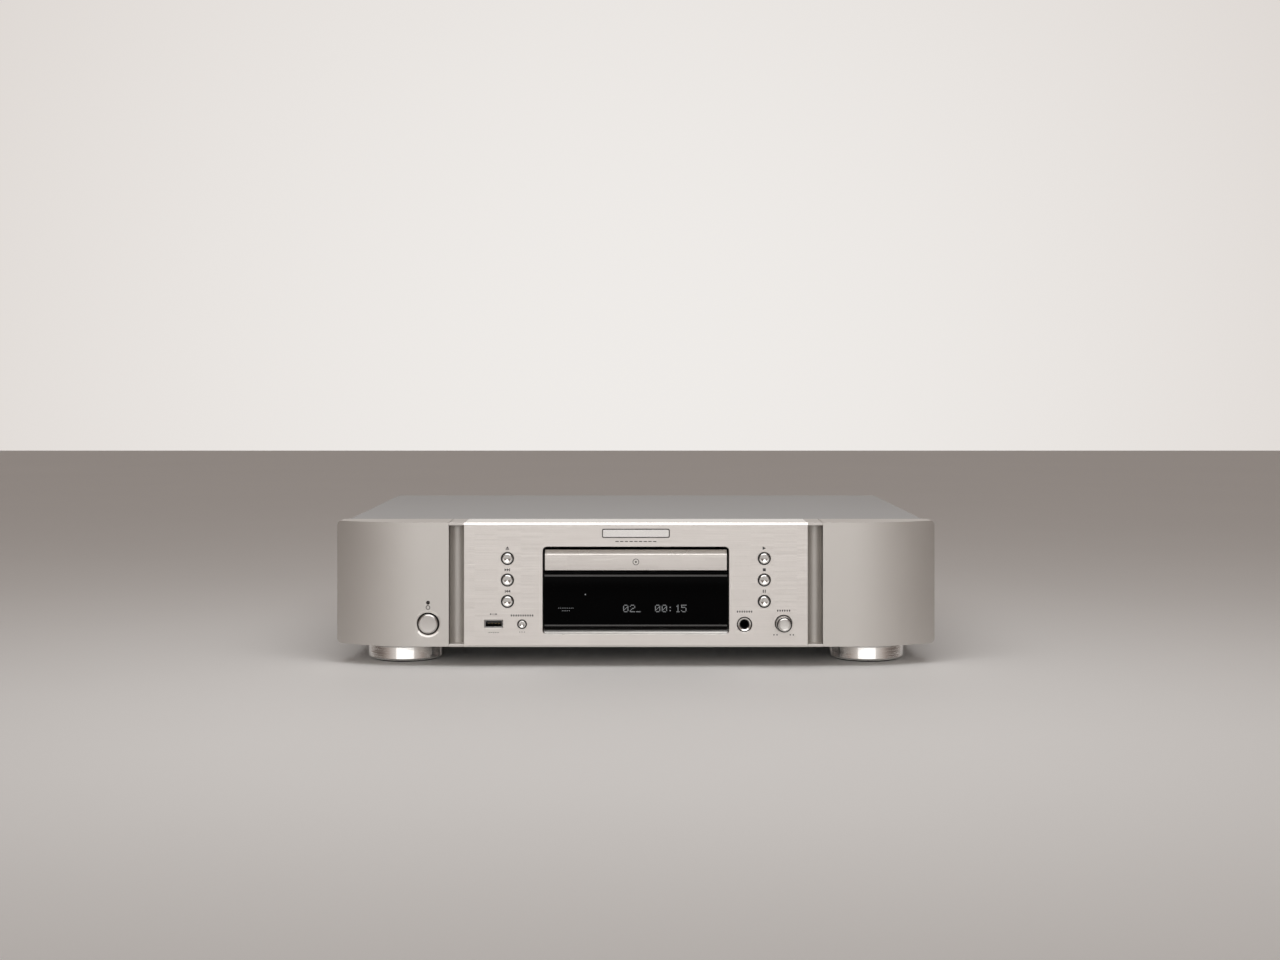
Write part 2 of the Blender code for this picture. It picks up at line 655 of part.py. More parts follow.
def cover_and_chassis():
    outer = CASE_WIDTH / 2 - COVER_INSET
    inner = outer - SHEET
    low = CASE_LOW + CHASSIS_SHEET + GAP
    top = CASE_TOP - SHEET
    start, end = UNIT_DEPTH + GAP, CASE_DEPTH
    bend = 0.003
    section = [(-outer, low), *arc(bend - outer, CASE_TOP - bend, bend, 180, 90, 4)]
    section += [*arc(outer - bend, CASE_TOP - bend, bend, 90, 0, 4), (outer, low)]
    section += [(inner, low), *arc(outer - bend, CASE_TOP - bend, bend - SHEET, 0, 90, 4)]
    section += [*arc(bend - outer, CASE_TOP - bend, bend - SHEET, 90, 180, 4), (-inner, low)]
    paint(PAINT, slab("top_cover", [section], "Y", start, end))

    side, floor = inner - GAP, CASE_LOW + GAP
    flange = floor + 0.014
    pan = [(-side, floor), (side, floor), (side, flange), (side - CHASSIS_SHEET, flange)]
    pan += [(side - CHASSIS_SHEET, floor + CHASSIS_SHEET), (CHASSIS_SHEET - side, floor + CHASSIS_SHEET)]
    pan += [(CHASSIS_SHEET - side, flange), (-side, flange)]
    panel_front = CASE_DEPTH - SHEET
    paint(STEEL, slab("chassis", [pan], "Y", start, panel_front - GAP))

    holes = [circle(RCA_X + shift, JACK_ROW, JACK_BARREL + GAP) for shift in (0, -JACK_PITCH)]
    holes.append(circle(COAX_X, JACK_ROW, JACK_BARREL + GAP))
    square = 0.0053
    low, high = JACK_ROW - square, JACK_ROW + square
    holes.append(rectangle(OPTICAL_X - square, OPTICAL_X + square, low, high))
    holes += [circle(REMOTE_X + shift, JACK_ROW, 0.0033) for shift in (-0.007, 0.007)]
    left, right, low, high = inlet_edges(GAP)
    holes.append(rectangle(left, right, low, high))
    edge = rounded(-side, side, CASE_LOW + GAP, top - GAP, 0.0015, 3)
    paint(STEEL, slab("rear_panel", [edge, *holes], "Y", panel_front, CASE_DEPTH))


def feet():
    ends = {"front": FOOT_FRONT, "rear": CASE_DEPTH - FOOT_BACK}
    for end, depth in ends.items():
        for side, x in (("left", FOOT_INSET - CASE_WIDTH / 2), ("right", CASE_WIDTH / 2 - FOOT_INSET)):
            profile = [(FOOT_TOP, 0), (FOOT_TOP, FOOT_RADIUS - 0.0015), (FOOT_TOP - 0.0015, FOOT_RADIUS)]
            profile += [(FOOT_LOW + 0.0012, FOOT_RADIUS), (FOOT_LOW, FOOT_RADIUS - 0.0012), (FOOT_LOW, 0)]
            centre = (x, depth, FOOT_LOW)
            paint(CHROME, turned(f"{end}_{side}_foot", profile, centre, sides=BIG_ROUND))
            pad_top = FOOT_LOW - GAP
            paint(RUBBER, rod(f"{end}_{side}_foot_pad", (x, depth, 0), (x, depth, pad_top), PAD_RADIUS))


# ---- Rear sockets -------------------------------------------------------------------------


def inlet_edges(spare=0.0):
    half, tall = 0.0145 + spare, 0.0105 + spare
    return INLET_X - half, INLET_X + half, INLET_HEIGHT - tall, INLET_HEIGHT + tall


def barrel_jacks(name, centres):
    """Round jacks that stand out of the rear panel from one block behind it."""
    back = CASE_DEPTH - SHEET - GAP
    low = (min(centres) - 0.007, back - 0.013, JACK_ROW - 0.007)
    jacks = block(name, low, (max(centres) + 0.007, back, JACK_ROW + 0.007))
    tip = CASE_DEPTH + JACK_PROUD
    for x in centres:
        join(jacks, rod("barrel", (x, back - 0.001, JACK_ROW), (x, tip, JACK_ROW), JACK_BARREL))
        cut(jacks, rod("barrel_bore", (x, tip - 0.008, JACK_ROW), (x, tip + 0.002, JACK_ROW), 0.0017, 12))
    paint(BLACK_PLASTIC, jacks)


def rear_sockets():
    barrel_jacks("analog_output_jacks", (RCA_X - JACK_PITCH, RCA_X))
    barrel_jacks("digital_output_jack", (COAX_X,))
    back, face = CASE_DEPTH - SHEET - GAP, CASE_DEPTH

    half = 0.005
    left, right, low, high = OPTICAL_X - half, OPTICAL_X + half, JACK_ROW - half, JACK_ROW + half
    optical = block("optical_output", (left, back - 0.012, low), (right, face + 0.001, high))
    room = 0.003
    room_low = (OPTICAL_X - room, face - 0.006, JACK_ROW - room)
    cut(optical, block("optical_room", room_low, (OPTICAL_X + room, face + 0.004, JACK_ROW + room)))

    remote_low = (REMOTE_X - 0.014, back - 0.012, JACK_ROW - 0.0055)
    remote = block("remote_jacks", remote_low, (REMOTE_X + 0.014, back, JACK_ROW + 0.0055))
    for x in (REMOTE_X - 0.007, REMOTE_X + 0.007):
        join(remote, rod("remote_neck", (x, back - 0.001, JACK_ROW), (x, face + 0.001, JACK_ROW), 0.003))
        cut(remote, rod("remote_bore", (x, back - 0.010, JACK_ROW), (x, face + 0.004, JACK_ROW), 0.0018, 12))

    left, right, low, high = inlet_edges()
    inlet = block("ac_inlet", (left, face - 0.022, low), (right, face + 0.0012, high))
    wall = 0.0025
    room_low = (left + wall, face - 0.017, low + wall)
    cut(inlet, block("inlet_room", room_low, (right - wall, face + 0.004, high - wall)))
    for shift in (-0.005, 0.005):
        pin_low = (INLET_X + shift - 0.001, face - 0.018, INLET_HEIGHT - 0.002)
        join(inlet, block("inlet_pin", pin_low, (INLET_X + shift + 0.001, face - 0.006, INLET_HEIGHT + 0.002)))
    paint(BLACK_PLASTIC, optical, remote, inlet)


# ---- Electronics --------------------------------------------------------------------------


def electronics():
    left, right = BOARD_LEFT, CASE_WIDTH / 2 - 0.015
    end = CASE_DEPTH - 0.017
    board = block("main_board", (left, BOARD_START, BOARD_LOW), (right, end, BOARD_LOW + BOARD_THICK))
    top = BOARD_LOW + BOARD_THICK / 2
    for shift, radius, tall in ((0.020, 0.008, 0.025), (0.040, 0.008, 0.025), (0.062, 0.011, 0.035)):
        x = left + shift
        for depth in (end - 0.030, end - 0.060):
            join(board, rod("capacitor", (x, depth, top), (x, depth, top + tall), radius, 16))
    sink_low = (right - 0.040, end - 0.085, top)
    join(board, block("heat_sink", sink_low, (right - 0.010, end - 0.070, top + 0.025)))
    join(board, block("converter", (left + 0.015, end - 0.110, top), (left + 0.035, end - 0.090, top + 0.004)))
    paint(BOARD_GREEN, board)

    x = TRANSFORMER_RADIUS + 0.020 + COVER_INSET - CASE_WIDTH / 2
    depth = CASE_DEPTH - TRANSFORMER_RADIUS - 0.036
    low = CASE_LOW + CHASSIS_SHEET + 2 * GAP
    high = low + 0.040
    outer, inner, edge = TRANSFORMER_RADIUS, TRANSFORMER_HOLE, 0.008
    profile = [(high - 0.006, 0), (high - 0.006, inner), (high - edge / 4, inner + edge / 2)]
    profile += [(high, inner + edge), (high, outer - edge), (high - edge / 3, outer - edge / 3)]
    profile += [(high - edge, outer), (low + edge, outer), (low + edge / 3, outer - edge / 3)]
    profile += [(low, outer - edge), (low, 0)]
    paint(COPPER, turned("transformer", profile, (x, depth, low), sides=BIG_ROUND))


# ---- Loading mechanism --------------------------------------------------------------------


def disc_tray():
    """The tray, with its disc well, its slot for the spindle and the rack on its underside."""
    edge = [(TRAY_HALF, TRAY_START), (TRAY_HALF, TRAY_END), (SLOT_HALF, TRAY_END)]
    edge += arc(0, SPINDLE_DEPTH, SLOT_HALF, 0, -180, 16)
    edge += [(-SLOT_HALF, TRAY_END), (-TRAY_HALF, TRAY_END), (-TRAY_HALF, TRAY_START)]
    tray = slab("disc_tray", [edge], "Z", TRAY_LOW, TRAY_HIGH)
    floor = TRAY_HIGH - WELL_SINK
    well_low, well_high = (0, SPINDLE_DEPTH, floor), (0, SPINDLE_DEPTH, TRAY_HIGH + 0.005)
    cut(tray, rod("well", well_low, well_high, WELL_RADIUS, 64))
    bar = rack(GEAR_MODULE, RACK_LINE, RACK_LINE - RACK_BACK, RACK_START, TRAY_END - 0.001, TRAIN_DEPTH)
    join(tray, slab("tray_rack", [bar], "Z", GEAR_LOW, TRAY_LOW + 0.0006))

    lip, slope = 0.0011, 0.0029
    face, back = DOOR_SUNK, TRAY_START - GAP
    side = [(back, DOOR_LOW), (back, DOOR_HIGH - 0.001), (back - 0.001, DOOR_HIGH)]
    side += [(face + 0.0015, DOOR_HIGH), (face, DOOR_HIGH - slope), (face, DOOR_LOW + lip)]
    side += [(face + lip / 2, DOOR_LOW)]
    door = slab("tray_front", [side], "X", -DOOR_HALF, DOOR_HALF)
    paint(BLACK_PLASTIC, tray)
    paint(SILVER, door)
    carry("tray_slide", (0, TRAY_START, TRAY_LOW), tray, door)


def loader_base():
    """Side walls with rails for the tray, a shelf for the gears, and legs to the chassis."""
    rail_top = TRAY_LOW - GAP
    base = None
    for side in (-1, 1):
        near, far = sorted((side * LOADER_INNER, side * LOADER_OUTER))
        low, high = (near, LOADER_START, LOADER_LOW), (far, LOADER_END, LOADER_HIGH)
        wall = block("loader_base" if side < 0 else "right_wall", low, high)
        rail_near, rail_far = sorted((side * RAIL_INNER, side * (LOADER_INNER + 0.001)))
        rail_low = (rail_near, LOADER_START, rail_top - 0.002)
        rail = block("rail", rail_low, (rail_far, LOADER_END, rail_top))
        legs = []
        for start in (UNIT_DEPTH + 0.002, LOADER_END - 0.010):
            foot = (near, start, CASE_LOW + CHASSIS_SHEET + 2 * GAP)
            legs.append(block("leg", foot, (far, start + 0.010, LOADER_LOW + 0.001)))
        if base is None:
            base = wall
            join(base, rail, *legs)
            continue
        shelf_low = (-LOADER_INNER - 0.001, LOADER_START, SHELF_LOW)
        shelf = block("shelf", shelf_low, (LOADER_INNER + 0.001, SHELF_END, SHELF_HIGH))
        tie_low = (-LOADER_INNER - 0.001, LOADER_END - 0.007, LOADER_LOW)
        tie = block("tie", tie_low, (LOADER_INNER + 0.001, LOADER_END, GEAR_LOW - 0.001))
        join(base, shelf, tie, wall, rail, *legs)
    shaft_hole = rod("shaft_hole", (MOTOR_X, TRAIN_DEPTH, 0.060), (MOTOR_X, TRAIN_DEPTH, 0.070), 0.0025, 12)
    cut(base, shaft_hole)
    paint(BLACK_PLASTIC, base)


def gear_train():
    """The belt drive from the loading motor and the gears that move the tray."""
    teeth = gear(GEAR_MODULE, DRIVE_TEETH, 180, 0, 0)
    drive = slab("drive_gear", [teeth], "Z", GEAR_LOW, GEAR_HIGH)
    hub_low = SHELF_HIGH + GAP
    join(drive, rod("drive_hub", (0, 0, hub_low), (0, 0, GEAR_LOW + 0.001), 0.003, 12))
    gap_turn = 180 + 180 / PINION_TEETH
    pinion = gear(GEAR_MODULE, PINION_TEETH, gap_turn, 0, 0)
    pulley = slab("pulley_gear", [pinion], "Z", PULLEY_HIGH - 0.0005, GEAR_HIGH)
    join(pulley, rod("belt_pulley", (0, 0, PULLEY_LOW), (0, 0, PULLEY_HIGH), PULLEY_RADIUS, BIG_ROUND))
    motor_pulley = rod("motor_pulley", (0, 0, PULLEY_LOW), (0, 0, PULLEY_HIGH), MOTOR_PULLEY_RADIUS, 16)
    join(motor_pulley, rod("motor_shaft", (0, 0, SHELF_LOW), (0, 0, PULLEY_LOW + 0.001), 0.0015, 12))
    for item, x in ((drive, DRIVE_X), (pulley, PULLEY_X), (motor_pulley, MOTOR_X)):
        shift = Matrix.Translation((x, TRAIN_DEPTH, 0))
        for piece in (item, *(step.object for step in item.modifiers)):
            piece.matrix_world = shift @ piece.matrix_world

    motor_low, motor_high = SHELF_LOW - 0.022, SHELF_LOW - GAP
    motor_ends = (MOTOR_X, TRAIN_DEPTH, motor_low), (MOTOR_X, TRAIN_DEPTH, motor_high)
    motor = rod("loading_motor", *motor_ends, LOADING_MOTOR_RADIUS)

    inside = belt_loop(GAP)
    outside = belt_loop(GAP + BELT_THICK)
    middle = (PULLEY_LOW + PULLEY_HIGH) / 2
    belt = slab("loading_belt", [outside, inside], "Z", middle - 0.0008, middle + 0.0008)
    paint(WHITE_PLASTIC, drive, pulley, motor_pulley)
    paint(STEEL, motor)
    paint(RUBBER, belt)


def belt_loop(clear):
    """The loop round both pulleys, at a distance from them."""
    lean = math.degrees(math.acos((PULLEY_RADIUS - MOTOR_PULLEY_RADIUS) / (MOTOR_X - PULLEY_X)))
    big = arc(PULLEY_X, TRAIN_DEPTH, PULLEY_RADIUS + clear, lean, 360 - lean, 18)
    return big + arc(MOTOR_X, TRAIN_DEPTH, MOTOR_PULLEY_RADIUS + clear, -lean, lean, 10)


def clamp():
    """The bridge over the tray, and the puck that turns in it on top of the disc."""
    low = LOADER_HIGH + GAP
    high = low + BRIDGE_THICK
    start, end = SPINDLE_DEPTH - BRIDGE_HALF, SPINDLE_DEPTH + BRIDGE_HALF
    edge = rectangle(-LOADER_OUTER, LOADER_OUTER, start, end)
    hole = circle(0, SPINDLE_DEPTH, BRIDGE_HOLE)
    paint(STEEL, slab("clamp_bridge", [edge, hole], "Z", low, high))
    rest = high + GAP
    profile = [(rest + 0.002, 0), (rest + 0.002, PUCK_FLANGE), (rest, PUCK_FLANGE), (rest, PUCK_NECK)]
    profile += [(PUCK_LOW, PUCK_NECK), (PUCK_LOW, 0)]
    paint(BLACK_PLASTIC, turned("clamp_puck", profile, (0, SPINDLE_DEPTH, PUCK_LOW)))


def cam_slot_height(x):
    """Height of the middle of the cam's slanted slot, level at both ends."""
    drop = (HINGE_DEPTH - CAM_FACE - CAM_THICK / 2) * math.sin(TRAVERSE_TILT)
    share = min(1.0, max(0.0, (PEG_X - x) / CAM_SHIFT))
    return HINGE_HEIGHT - drop * share


def cam_slider():
    """A plate that slides across and lowers the traverse's peg in its slanted slot."""
    half = PEG_RADIUS + 0.0009
    left, right = PEG_X - CAM_SHIFT - 0.007, PEG_X + 0.007
    low, high = cam_slot_height(left) - 0.006, HINGE_HEIGHT + 0.0045
    start, end = PEG_X - CAM_SHIFT - 0.003, PEG_X + 0.003
    stations = (start, PEG_X - CAM_SHIFT, PEG_X, end)
    slot = [(x, cam_slot_height(x) - half) for x in stations]
    slot += [(x, cam_slot_height(x) + half) for x in reversed(stations)]
    outline = rectangle(left, right, low, high)
    plate = slab("cam_slider", [outline, slot], "Y", CAM_FACE, CAM_FACE + CAM_THICK)
    paint(WHITE_PLASTIC, plate)
    carry("cam_slide", (PEG_X, CAM_FACE, HINGE_HEIGHT), plate)


# ---- Traverse -----------------------------------------------------------------------------


def traverse():
    """The tilting frame with the spindle motor, the pickup and its feed."""
    edge = rectangle(-TRAVERSE_HALF, TRAVERSE_HALF, TRAVERSE_START, HINGE_DEPTH + 0.003)
    window = rectangle(-SLED_WINDOW_HALF, SLED_WINDOW_HALF, SLED_WINDOW_START, SLED_WINDOW_END)
    boss = 0.004
    boss_hole = circle(0, SPINDLE_DEPTH, boss + GAP)
    frame = slab("traverse_frame", [edge, window, boss_hole], "Z", TRAVERSE_LOW, TRAVERSE_HIGH)
    peg_start = (PEG_X, CAM_FACE - 0.0005, HINGE_HEIGHT)
    join(frame, rod("cam_peg", peg_start, (PEG_X, TRAVERSE_START + 0.002, HINGE_HEIGHT), PEG_RADIUS, 12))

    motor_top = TRAVERSE_LOW - GAP
    motor = [(SEAT_HEIGHT - 0.0098, 0), (SEAT_HEIGHT - 0.0098, boss), (motor_top, boss), (motor_top, 0.011)]
    motor += [(motor_top - 0.009, 0.011), (motor_top - 0.009, 0)]
    spindle_motor = turned("spindle_motor", motor, (0, SPINDLE_DEPTH, motor_top))

    shaft_end = SEAT_HEIGHT - 0.0098 + GAP
    table = [(SEAT_HEIGHT + 0.003, 0), (SEAT_HEIGHT + 0.003, 0.005), (SEAT_HEIGHT + 0.0015, 0.0073)]
    table += [(SEAT_HEIGHT, 0.0073), (SEAT_HEIGHT, TURNTABLE_RADIUS)]
    table += [(SEAT_HEIGHT - 0.0025, TURNTABLE_RADIUS), (SEAT_HEIGHT - 0.0025, 0.004), (shaft_end, 0.004)]
    table += [(shaft_end, 0)]
    turntable = turned("turntable", table, (0, SPINDLE_DEPTH, SEAT_HEIGHT))

    rod_height = HINGE_HEIGHT
    rod_start = (ROD_X, SLED_WINDOW_START + GAP, rod_height)
    guide = rod("guide_rod", rod_start, (ROD_X, SLED_WINDOW_END - GAP, rod_height), ROD_RADIUS, 12)

    sled, lens = pickup(rod_height)
    wheel, pinion, sled_motor = feed()
    paint(STEEL, frame, spindle_motor, guide, sled_motor)
    paint(BLACK_PLASTIC, turntable, sled)
    paint(GLASS, lens)
    paint(WHITE_PLASTIC, wheel, pinion)

    hinge = (0, HINGE_DEPTH, HINGE_HEIGHT)
    moving = carry("traverse_hinge", hinge, frame, spindle_motor, guide, sled_motor, turntable, wheel, pinion)
    sliding = carry("sled_slide", (0, LENS_DEPTH, HINGE_HEIGHT), sled, lens)
    sliding.parent = moving
    sliding.matrix_parent_inverse = Matrix.Translation(world(*hinge)).inverted()


def pickup(rod_height):
    """The sled that runs on the guide rod, its rack, and the lens that floats over it."""
    start, end = LENS_DEPTH - 0.0065, LENS_DEPTH + 0.014
    sled = block("pickup_sled", (-SLED_HALF, start, SLED_LOW), (SLED_HALF, end, SLED_HIGH))
    lug_low = (SLED_HALF - 0.001, start, SLED_LOW)
    join(sled, block("sled_lug", lug_low, (ROD_X + 0.0045, end, rod_height + 0.0035)))
    bar_end = FEED_DEPTH + 0.0035
    bar = rack(FEED_MODULE, FEED_RACK_LINE, -SLED_HALF + 0.001, start + 0.001, bar_end, FEED_DEPTH)
    join(sled, slab("sled_rack", [bar], "Z", SLED_LOW + 0.0003, SLED_LOW + 0.0027))
    bore_start, bore_end = (ROD_X, start - 0.01, rod_height), (ROD_X, end + 0.01, rod_height)
    cut(sled, rod("rod_bore", bore_start, bore_end, ROD_RADIUS + GAP, 12))
    well_low = (0, LENS_DEPTH, SLED_HIGH - 0.003)
    well_high = (0, LENS_DEPTH, SLED_HIGH + 0.005)
    cut(sled, rod("lens_well", well_low, well_high, LENS_RADIUS + 0.0015))
    top = SEAT_HEIGHT - 0.0026
    profile = [(top, 0), (top - 0.0006, LENS_RADIUS * 0.6), (top - 0.0016, LENS_RADIUS)]
    profile += [(SLED_HIGH - 0.002, LENS_RADIUS), (SLED_HIGH - 0.002, 0)]
    return sled, turned("objective_lens", profile, (0, LENS_DEPTH, SLED_HIGH))


def feed():
    """The feed wheel with its small pinion, the motor's pinion and the motor."""
    wheel_low, wheel_high = SLED_LOW - 0.0035, SLED_LOW - 0.0008
    pinion_low, pinion_high = SLED_LOW, SLED_LOW + 0.003
    wheel = slab("feed_gear", [gear(FEED_MODULE, FEED_WHEEL_TEETH, 180, 0, 0)], "Z", wheel_low, wheel_high)
    small = gear(FEED_MODULE, FEED_PINION_TEETH, 0, 0, 0)
    join(wheel, slab("feed_pinion", [small], "Z", wheel_high - 0.0005, pinion_high))
    gap_turn = 180 / SLED_PINION_TEETH
    teeth = gear(FEED_MODULE, SLED_PINION_TEETH, gap_turn, 0, 0)
    pinion = slab("sled_pinion", [teeth], "Z", wheel_low, wheel_high)
    for item, x in ((wheel, FEED_X), (pinion, SLED_MOTOR_X)):
        shift = Matrix.Translation((x, FEED_DEPTH, 0))
        for piece in (item, *(step.object for step in item.modifiers)):
            piece.matrix_world = shift @ piece.matrix_world
    motor_top = wheel_low - GAP
    motor_low = (SLED_MOTOR_X, FEED_DEPTH, motor_top - 0.010)
    motor = rod("sled_motor", motor_low, (SLED_MOTOR_X, FEED_DEPTH, motor_top), 0.006, 16)
    return wheel, pinion, motor


# ---- The player ---------------------------------------------------------------------------


def main():
    for item in list(bpy.data.objects):
        bpy.data.objects.remove(item, do_unlink=True)
    for name in (COLLECTION, CUTTERS):
        collection = bpy.data.collections.new(name)
        bpy.context.scene.collection.children.link(collection)
    front_plate()
    front_frame()
    wing("right_wing", 1)
    power_controls(wing("left_wing", -1))
    for name, x, height in button_places():
        push_button(name, x, height, BUTTON_RADIUS)
    push_button("input_button", INPUT_X, INPUT_HEIGHT, INPUT_RADIUS)
    front_board()
    level_control()
    headphone_jack()
    usb_socket()
    display()
    badge()
    cover_and_chassis()
    feet()
    rear_sockets()
    electronics()
    disc_tray()
    loader_base()
    gear_train()
    clamp()
    cam_slider()
    traverse()


main()
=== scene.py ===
"""The finished look of a compact disc player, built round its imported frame.

All places are in metres in the frame's own axes: X to the right, Y to the back, Z up.
"""
import math

import bmesh
import bpy
from mathutils import Matrix, Vector


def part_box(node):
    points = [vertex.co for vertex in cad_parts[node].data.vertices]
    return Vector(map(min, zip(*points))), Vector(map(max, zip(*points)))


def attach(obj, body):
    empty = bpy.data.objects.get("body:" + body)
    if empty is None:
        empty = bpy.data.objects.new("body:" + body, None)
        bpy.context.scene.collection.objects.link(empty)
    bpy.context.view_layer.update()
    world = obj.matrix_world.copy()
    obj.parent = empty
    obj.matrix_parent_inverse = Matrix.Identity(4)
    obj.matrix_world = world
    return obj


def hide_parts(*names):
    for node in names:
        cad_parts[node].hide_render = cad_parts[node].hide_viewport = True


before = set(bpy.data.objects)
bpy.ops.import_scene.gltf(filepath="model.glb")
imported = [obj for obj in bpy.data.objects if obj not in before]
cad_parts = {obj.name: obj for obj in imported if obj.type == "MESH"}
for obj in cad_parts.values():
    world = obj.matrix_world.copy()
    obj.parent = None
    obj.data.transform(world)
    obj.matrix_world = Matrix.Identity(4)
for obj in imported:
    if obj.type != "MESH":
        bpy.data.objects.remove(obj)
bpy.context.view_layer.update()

# ---- Places taken from the frame ----

PLATE_LOW, PLATE_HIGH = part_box("front_plate")
FRAME_LOW, FRAME_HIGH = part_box("front_frame")
WING_LOW, WING_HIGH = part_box("right_wing")
COVER_LOW, COVER_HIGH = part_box("top_cover")
WINDOW_LOW, WINDOW_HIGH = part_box("display_window")
DOOR_LOW, DOOR_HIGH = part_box("tray_front")
PANEL_LOW, PANEL_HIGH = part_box("rear_panel")

FACE = PLATE_LOW.y  # the front of the plate
BASE = PLATE_LOW.z
TOP = PLATE_HIGH.z
GAP = 0.0003  # the clearance that touching pieces keep
FRAME_FRONT = PLATE_HIGH.y + GAP

# ---- Sizes of fine detail ----

OPENING_SIDE = 0.0014  # gap between the door and each side of the opening
OPENING_HALF = DOOR_HIGH.x + OPENING_SIDE
OPENING_LOW = 0.0244
OPENING_HIGH = 0.08765
OPENING_CORNER = 0.003
FRAME_WALL = 0.004
GROOVE_LIP = 0.002
GROOVE_STEP = 0.0006  # the groove's round bottom starts this far behind the plate
PLATE_CHAMFER = 0.0014
CHAMFER_TILT = 36.0
WING_FLAT = 0.0192
WING_SWEEP = 0.021
WING_CORNER = 0.0035
WING_RIM = 0.0010
WING_WALL = 0.004
BUTTON_CAP = 0.0037
BUTTON_HOLE = 0.0047
INPUT_CAP = 0.0026
INPUT_HOLE = 0.00345
KNOB_RADIUS = 0.0056
KNOB_HOLE = 0.00625
JACK_RADIUS = 0.0053
JACK_HOLE = JACK_RADIUS + 0.0002
JACK_BORE = 0.0033
USB_HALF = 0.00665
USB_TALL = 0.00285
POWER_CAP = 0.007
POWER_HOLE = 0.0080
POWER_DISH = 0.010
LAMP_RADIUS = 0.0011
DISC_MARK = 0.0764  # height of the plain mark on the door
SCREW_HEAD = 0.0032
INK = 0.00006  # thickness of a printed mark
PAST = 0.002  # how far a cutter stands past what it cuts


# ---- Finishes ----


UP = (0, 0, 1)
LATHE_LEAN = 1.17  # tips a turned side up, so that it mirrors the softbox
DISH_LEAN = -1.6  # tips a cap's middle inward, as a dish does


class Wire:
    """A node's output that takes part in sums, so that a finish reads as a formula."""

    def __init__(self, finish, socket):
        self.finish = finish
        self.socket = socket

    def __add__(self, other):
        return self.finish.maths("ADD", self, other)

    def __sub__(self, other):
        return self.finish.maths("SUBTRACT", self, other)

    def __mul__(self, other):
        return self.finish.maths("MULTIPLY", self, other)


class Finish:
    """A material whose shader takes plain values, and wires where a value changes over it."""

    def __init__(self, name, colour, roughness, metallic=0.0, **plain):
        self.material = bpy.data.materials.new(name)
        self.material.use_nodes = True
        self.material.diffuse_color = (*colour, 1)
        self.nodes = self.material.node_tree.nodes
        self.links = self.material.node_tree.links
        self.shader = self.nodes["Principled BSDF"]
        self.colour = colour
        self.put("Base Color", (*colour, 1))
        self.put("Roughness", roughness)
        self.put("Metallic", metallic)
        for key, value in plain.items():
            self.put(key.replace("_", " ").title().replace("Ior", "IOR"), value)

    def put(self, socket, value):
        """Set one of the shader's sockets, or link it to a wire."""
        self.join(self.shader.inputs[socket], value)
        return self

    def join(self, socket, value):
        if isinstance(value, Wire):
            self.links.new(value.socket, socket)
        else:
            socket.default_value = value

    def node(self, kind, settings=None, inputs=None, output=0):
        """Any node: its settings first, then the values or wires of its sockets."""
        node = self.nodes.new("ShaderNode" + kind)
        for key, value in (settings or {}).items():
            setattr(node, key, value)
        for key, value in (inputs or {}).items():
            self.join(node.inputs[key], value)
        return Wire(self, node.outputs[output])

    def maths(self, operation, first, second):
        return self.node("Math", {"operation": operation}, {0: first, 1: second})

    def vector(self, operation, first, second):
        return self.node("VectorMath", {"operation": operation}, {0: first, 1: second})

    def place(self):
        """The point on the surface, in metres, fixed to the piece."""
        return self.node("TexCoord", output=3)

    def noise(self, scale, detail=2.0, roughness=0.5):
        """Soft noise from 0 to 1; scale is one number, or three for stretched noise."""
        scales = scale if isinstance(scale, tuple) else (scale,) * 3
        spread = self.vector("MULTIPLY", self.place(), scales)
        return self.node("TexNoise", None, {"Vector": spread, "Scale": 1.0, "Detail": detail,
                                            "Roughness": roughness})

    def speckle(self, scale):
        """Sharp noise that is new at each point, for marks finer than the eye resolves."""
        spread = self.vector("MULTIPLY", self.place(), scale)
        cell = self.node("VectorMath", {"operation": "FLOOR"}, {0: spread})
        return self.node("TexWhiteNoise", {"noise_dimensions": "3D"}, {"Vector": cell})

    def mix(self, factor, first, second):
        """A colour between two colours."""
        colours = [value if isinstance(value, Wire) else (*value, 1) for value in (first, second)]
        inputs = {0: factor, 6: colours[0], 7: colours[1]}
        return self.node("Mix", {"data_type": "RGBA"}, inputs, output=2)

    def shade(self, factor, darker=0.85, lighter=1.08):
        """The finish's own colour, made darker and lighter by a factor from 0 to 1."""
        low = tuple(value * darker for value in self.colour)
        high = tuple(min(1.0, value * lighter) for value in self.colour)
        return self.put("Base Color", self.mix(factor, low, high))

    def bump(self, height, strength, distance):
        settings = {"Height": height, "Strength": strength, "Distance": distance}
        return self.put("Normal", self.node("Bump", None, settings))

    def grain(self, direction, pattern, amount):
        """Tip the surface along a direction by a pattern from 0 to 1, as brushing does."""
        push = (pattern - 0.5) * amount
        tip = self.node("VectorMath", {"operation": "SCALE"}, {0: direction, "Scale": push})
        normal = self.node("NewGeometry", output=1)
        tipped = self.vector("ADD", normal, tip)
        return self.put("Normal", self.node("VectorMath", {"operation": "NORMALIZE"}, {0: tipped}))


def brushed(name, colour, roughness, amount):
    """Metal with straight brushing along X: fine lines, and broad faint streaks."""
    finish = Finish(name, colour, roughness, 1.0)
    fine = finish.speckle((60.0, 0.0, 31000.0))
    broad = finish.noise((16.0, 0.0, 1300.0), 3.0)
    finish.grain(UP, fine, amount)
    finish.shade(broad, 0.985, 1.015)
    return finish.put("Roughness", broad * 0.04 + (roughness - 0.02))


